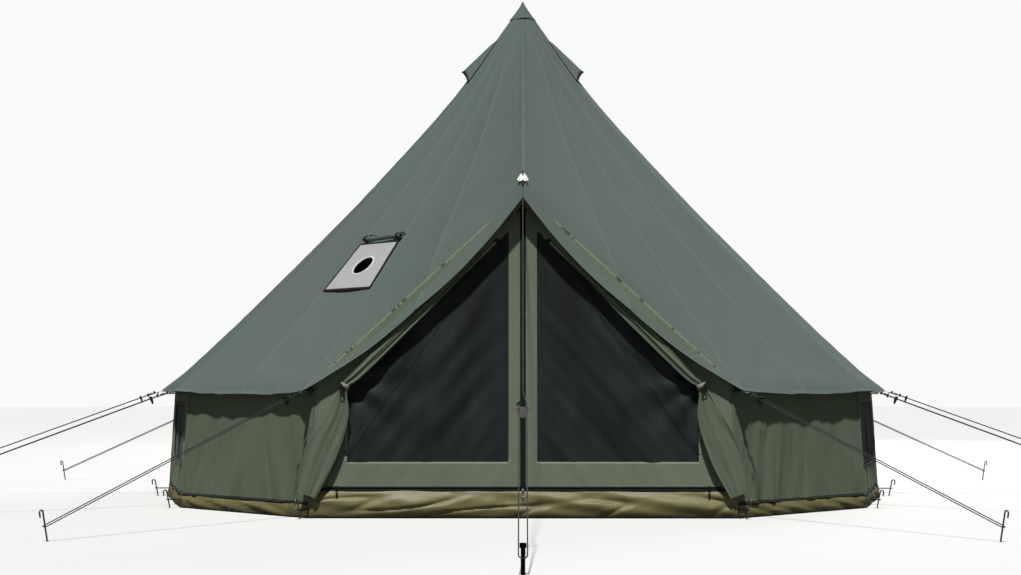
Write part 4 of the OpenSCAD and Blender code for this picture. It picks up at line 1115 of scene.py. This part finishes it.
for sgn, hand in ((1, "right"), (-1, "left")):
    leaf = f"door_{hand}"
    once = (lambda node: [node]) if sgn > 0 else (lambda node: [])  # a node that both hands stand for
    triangle = np.array([[0.003, LEAF_BOTTOM], [LEAF_W, LEAF_BOTTOM], [0.003, fold_s(0.003)]])
    leaf_ring, leaf_net = cut(triangle, True, -FOLD_GAP / 2), cut(MESH, True, -FOLD_GAP / 2)
    # The leaf's canvas runs up beside the mesh and along its foot; above, it is a sliver beside the fold
    bands = np.array([
        leaf_ring[0], (fold_x(LEAF_BOTTOM) - 0.0035, LEAF_BOTTOM), (MESH_OUT + 0.0005, fold_s(MESH_OUT) - 0.006),
        (MESH_OUT, MESH_FOOT), (MESH_IN, MESH_FOOT), (MESH_IN, MESH_PEAK), MESH_TIP, (fold_x(1.33) - 0.004, 1.33),
        (0.0035, fold_s(0.0035) - 0.006),
    ])
    o = door_piece(
        sgn, f"{leaf}_canvas", leaf, bands, "door", 0.001, LEAF_FOLD, thick=WALL_T, stands_for=[f"door_frame_{hand}"]
    )
    o = door_piece(sgn, f"{leaf}_net", leaf, leaf_net, "net", -0.001, stands_for=[f"door_mesh_{hand}"])

    # Fixed canvas and mesh outside the fold line
    ring = np.array([
        (0.001, 1.565), (0.9985, 0.645), (1.012, 0.136), (LEAF_W + 0.004, LEAF_BOTTOM - 0.002),
        (fold_x(0.3) + 0.0035, 0.3), (0.8404, 0.3), MESH_SHOULDER, (0.1, 1.3445), (fold_x(1.335) + 0.0035, 1.335),
        (0.0035, fold_s(0.0035) + 0.006),
    ])
    o = door_piece(
        sgn, f"doorway_canvas_{hand}", "tent", ring, "door", 0.0, DOORWAY_FOLD, thick=WALL_T,
        stands_for=once("door_surround"),
    )
    fixed_net = cut(MESH, False, FOLD_GAP / 2)
    o = door_piece(sgn, f"doorway_net_{hand}", "tent", fixed_net, "net", -0.001, stands_for=once("insect_screens"))

    # The cloth across the fold line, in mesh over the screen and in canvas at its ends
    for part, look, s0, s1, amount in (
        ("top", "door", 1.335, 1.46, LEAF_FOLD),
        ("net", "net", 0.3, 1.33, 1.0),
        ("foot", "door", 0.145, 0.3, LEAF_FOLD),
    ):
        a_, b_ = np.array([fold_x(s1), s1]), np.array([fold_x(s0), s0])
        n_ = max(6, int(np.linalg.norm(b_ - a_) / 0.012))
        line = a_ + (b_ - a_) * np.linspace(0, 1, n_)[:, None]
        rows_ = [door_points(sgn, line + FOLD_N * w_, 0.0016, amount) for w_ in np.linspace(-0.011, 0.011, 7)]
        o = band(f"fold_{part}_{hand}", "tent", rows_, look, flip=sgn < 0)
        o.parent = None
        fixed, moving = ((a_ + b_) / 2 + FOLD_N * w_ for w_ in (0.007, -0.007))
        tuple(on_door(sgn * fixed[0], fixed[1], 0.0))
        tuple(on_door(sgn * moving[0], moving[1], 0.0))
        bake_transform(o)

    # Zip tapes and teeth on the leaf's free edges
    tape_line(sgn, f"zip_tape_centre_{hand}", leaf, (0.0085, LEAF_BOTTOM + 0.002), (0.0085, 1.478), 0.011)
    teeth(sgn, f"zip_teeth_centre_{hand}", leaf, 0.0022, LEAF_BOTTOM + 0.012, 1.45)
    foot_s = LEAF_BOTTOM + 0.0035
    tape_line(sgn, f"zip_tape_foot_{hand}", leaf, (0.004, foot_s), (LEAF_W - 0.012, foot_s), 0.009)
    # Pale binding along the outer edge of the mesh
    for where, body, a_, b_, width, amount in (
        ("slope", "tent", (0.13, 1.3165), (0.838, 0.6235), 0.013, DOORWAY_FOLD),
        ("side", "tent", (MESH_OUT, 0.62), (MESH_OUT, 0.303), 0.012, DOORWAY_FOLD),
        ("foot", leaf, (MESH_OUT, 0.291), (MESH_OUT, 0.266), 0.012, LEAF_FOLD),
    ):
        tape_line(sgn, f"binding_{where}_{hand}", body, a_, b_, width, "binding", amount=amount)
    sill = THRESHOLD_H + 0.0005
    tape_line(sgn, f"threshold_tape_{hand}", "tent", (0.002, sill), (1.008, sill), 0.012, base=0.0022, amount=0)

# ---- Gathered outer doors ----
def edge_z(x):
    return TIP_Z - x * (TIP_Z - EAVE_Z) / (EAVE_R * 0.5)


path = [(q * TIE[0], edge_z(q * TIE[0]) - 0.062 - 0.1 * q * TIE[0]) for q in (0.24, 0.64, 0.94)]
path += [TIE, (0.873, 0.495), (0.9455, 0.3225), (1.0205, 0.109)]
PATH_KNOTS, TIE_KNOT = np.array([0, 0.9, 1.55, 1.8, 2.3, 2.95, 3.65]), 1.8
wide_at, deep_at = (0.014, 0.026, 0.024, 0.0165, 0.05, 0.078, 0.048), (0.01, 0.018, 0.02, 0.015, 0.018, 0.018, 0.014)
LAYERS = 5
for sgn, hand in ((1, "right"), (-1, "left")):
    u = np.linspace(0, PATH_KNOTS[-1], 110)
    px, ps = (pchip(u, PATH_KNOTS, [point[axis] for point in path]) for axis in (0, 1))
    centre = np.stack([px, ps], 1)
    tan = unit(np.gradient(centre, axis=0))
    across = np.stack([-tan[:, 1], tan[:, 0]], 1)
    W, D = pchip(u, PATH_KNOTS, wide_at)[:, None], pchip(u, PATH_KNOTS, deep_at)[:, None]
    # The cloth lies to and fro in layers, which share their folds and so never cross
    lap = np.linspace(0, 1, LAYERS * 22 + 1)[None]
    q = -np.cos(LAYERS * math.pi * lap)
    wander = ripple(q * 1.3 + 0 * u[:, None], u[:, None] * 1.1, 260 + int(sgn > 0))
    folds = 0.55 * np.sin(math.pi * (1.7 * q + 0.28 * wander) + 0.7 + sgn) + 0.32 * np.sin(
        math.pi * (3.6 * q - 0.4 * wander) + 2.1 * sgn
    )
    a_off = W * q * (1 + 0.07 * wander) * (1 - 0.1 * lap)
    d_off = D * (0.5 - 1.25 * lap + 0.45 * folds)
    flat_x, flat_s = centre[:, :1] + across[:, :1] * a_off, centre[:, 1:] + across[:, 1:] * a_off
    p = on_door(sgn * flat_x, flat_s, BUNDLE_OUT + d_off)
    p[..., 2] = np.maximum(p[..., 2], 0.004)
    cloth_u = lap * 0.9 + 0 * u[:, None]
    bundle = piece(
        f"outer_door_cloth_{hand}", "tent", p.reshape(-1, 3), grid_faces(len(u), q.shape[1], flip=sgn > 0), "bundle",
        np.stack([cloth_u.ravel(), (u[:, None] * 0.48 + 0 * q).ravel()], 1), stands_for=[f"outer_door_{hand}"],
    )
    # Webbing tie with a toggle, drawn tight round the gathers
    i = int(np.argmin(np.abs(u - TIE_KNOT)))
    c2, t2, n2 = centre[i], tan[i], across[i]
    t = np.radians(np.linspace(0, 360, 40))
    rows_ = []
    for off, grow in ((-0.011, 0.0), (-0.010, 0.0024), (0, 0.0034), (0.010, 0.0024), (0.011, 0.0)):
        fx, fs = (c2[axis] + t2[axis] * off + n2[axis] * (0.0205 + grow) * np.cos(t) for axis in (0, 1))
        rows_.append(on_door(sgn * fx, fs, BUNDLE_OUT + (0.0185 + grow) * np.sin(t)))
    band(f"tie_{hand}", "tent", rows_, "binding", flip=sgn < 0, stands_for=["webbing_loops"] if sgn > 0 else ())
    bar_x = np.linspace(-0.019, 0.019, 13)
    c3 = c2 - t2 * 0.004
    toggle = on_door(sgn * (c3[0] + 0.012 + bar_x * 0.5), c3[1] - 0.006 + bar_x * 0.86, BUNDLE_OUT + 0.029 + 0 * bar_x)
    t = np.radians(np.linspace(-200, 140, 28))
    loop = on_door(
        sgn * (c3[0] + 0.012 + 0.011 * np.cos(t)), c3[1] - 0.022 + 0.02 * np.sin(t), BUNDLE_OUT + 0.026 + 0 * t
    )
    verts, faces_ = join([
        tube(toggle, toggle_bar(bar_x, 0.0062, 0.02, 0.002), DOOR_N, 10), tube(loop, 0.0026, DOOR_N, 8),
    ])
    piece(f"tie_toggle_{hand}", "tent", verts, faces_, "plastic")

# ---- Straps at the eave corners: from under the eave out to the ring, round it and back ----
STRAP = np.array([
    (-0.05, 0.004), (-0.02, 0.0005), (0.03, -0.004), (0.052, -0.0062), (0.0588, -0.009), (0.060, -0.012),
    (0.0565, -0.0145), (0.048, -0.0145), (0.02, -0.0115), (-0.02, -0.0075), (-0.05, -0.005),
])
knots, dense = np.arange(len(STRAP)), np.linspace(0, len(STRAP) - 1, 50)
r_, z_ = pchip(dense, knots, STRAP[:, 0]) - 0.014, pchip(dense, knots, STRAP[:, 1])
for k in range(1, 12):
    o_, sideways = at(k * STEP, EAVE_R + r_, EAVE_Z + z_), at(k * STEP + 90, 1.0, 0)
    rows_ = [o_ + sideways * w_ for w_ in (-0.0105, -0.0102, 0, 0.0102, 0.0105)]
    band(f"eave_strap_{k:02d}", "tent", rows_, "webbing", thick=0.0015)


# ---- Zip sliders: a flared body and a pull with a hole ----
def slider_piece(hand, x, s, w, look):
    basis = np.stack([[1, 0, 0], DOOR_N, DOOR_UP], 1)
    parts = []
    body = ((0.006, w, 0.0072, 0.008), (-0.001, w * 0.8, 0.0078, 0.010), (-0.007, w * 0.62, 0.0068, 0.007))
    for dz, ww, dd, hh in body:
        parts.append(box_mesh((ww, dd, hh), on_door(x, s + dz, 0.006), basis, 0.5))
    t = np.radians(np.linspace(0, 180, 16))
    bridge = on_door(x + 0 * t, s + 0.0085 * np.cos(t), 0.0095 + 0.0045 * np.sin(t))
    parts.append(tube(bridge, 0.0015, (1, 0, 0), 8))
    # Pull: a rounded frame of wire and a flat tab
    t = np.linspace(0, TAU, 60)
    sx = np.sign(np.cos(t)) * np.abs(np.cos(t)) ** 0.6 * w * 0.3
    sz = np.sign(np.sin(t)) * np.abs(np.sin(t)) ** 0.6 * 0.0235
    parts.append(tube(on_door(x + sx, s - 0.027 + sz, 0.0125 + 0 * t), 0.0016, DOOR_N, 8))
    parts.append(box_mesh((w * 0.44, 0.0022, 0.026), on_door(x, s - 0.036, 0.0125), basis, 0.8))
    verts, faces = join(parts)
    piece(f"zip_slider_{hand}_detail", f"{hand}_zip_pull", verts, faces, look, stands_for=[f"zip_slider_{hand}"])


slider_piece("centre", 0.0, LEAF_BOTTOM - 0.012, 0.016, "zinc")
slider_piece("right", LEAF_W - 0.07, LEAF_BOTTOM + 0.002, 0.014, "plastic")
slider_piece("left", -(LEAF_W - 0.07), LEAF_BOTTOM + 0.002, 0.014, "plastic")

# ---- CAD nodes that are kept: their own finishes ----
KEPT = {
    "pole_lower": "steel", "pole_upper": "steel", "pole_foot": "rubber", "pole_crown": "plastic",
    "a_frame_left": "steel", "a_frame_right": "steel", "a_frame_crown": "steel", "a_frame_feet": "rubber",
    "eave_rings": "zinc", "peg_bands": "rubber", "ground_pegs": "peg", "guy_pegs": "peg", "front_stake": "stake",
    "apex_plate": "white", "guy_runner_front": "runner",
}
KEPT.update({f"guy_runner_{k:02d}": "plastic" for k in range(1, 12)})
for node, look in KEPT.items():
    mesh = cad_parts[node].data
    mesh.materials.clear()
    mesh.materials.append(M[look])

# ---- Floor ----
floor_mesh = bpy.data.meshes.new("floor")
ring = [(60 * math.cos(TAU * i / 64), 60 * math.sin(TAU * i / 64), -0.0005) for i in range(64)]
floor_mesh.from_pydata(ring, [], [tuple(range(64))])
floor = in_scene("floor", floor_mesh)
f = Shader("floor", rough=0.9)
pale = f.mix(f.between(f.noise(f.coords(), 0.4, 2), 0.3, 0.7), (0.93, 0.935, 0.94, 1), (0.96, 0.96, 0.965, 1))
floor_mesh.materials.append(f.finish(f.mix(f.add("LightPath", {}, "Is Camera Ray"), (0.14, 0.14, 0.13, 1), pale)))

bpy.context.view_layer.update()
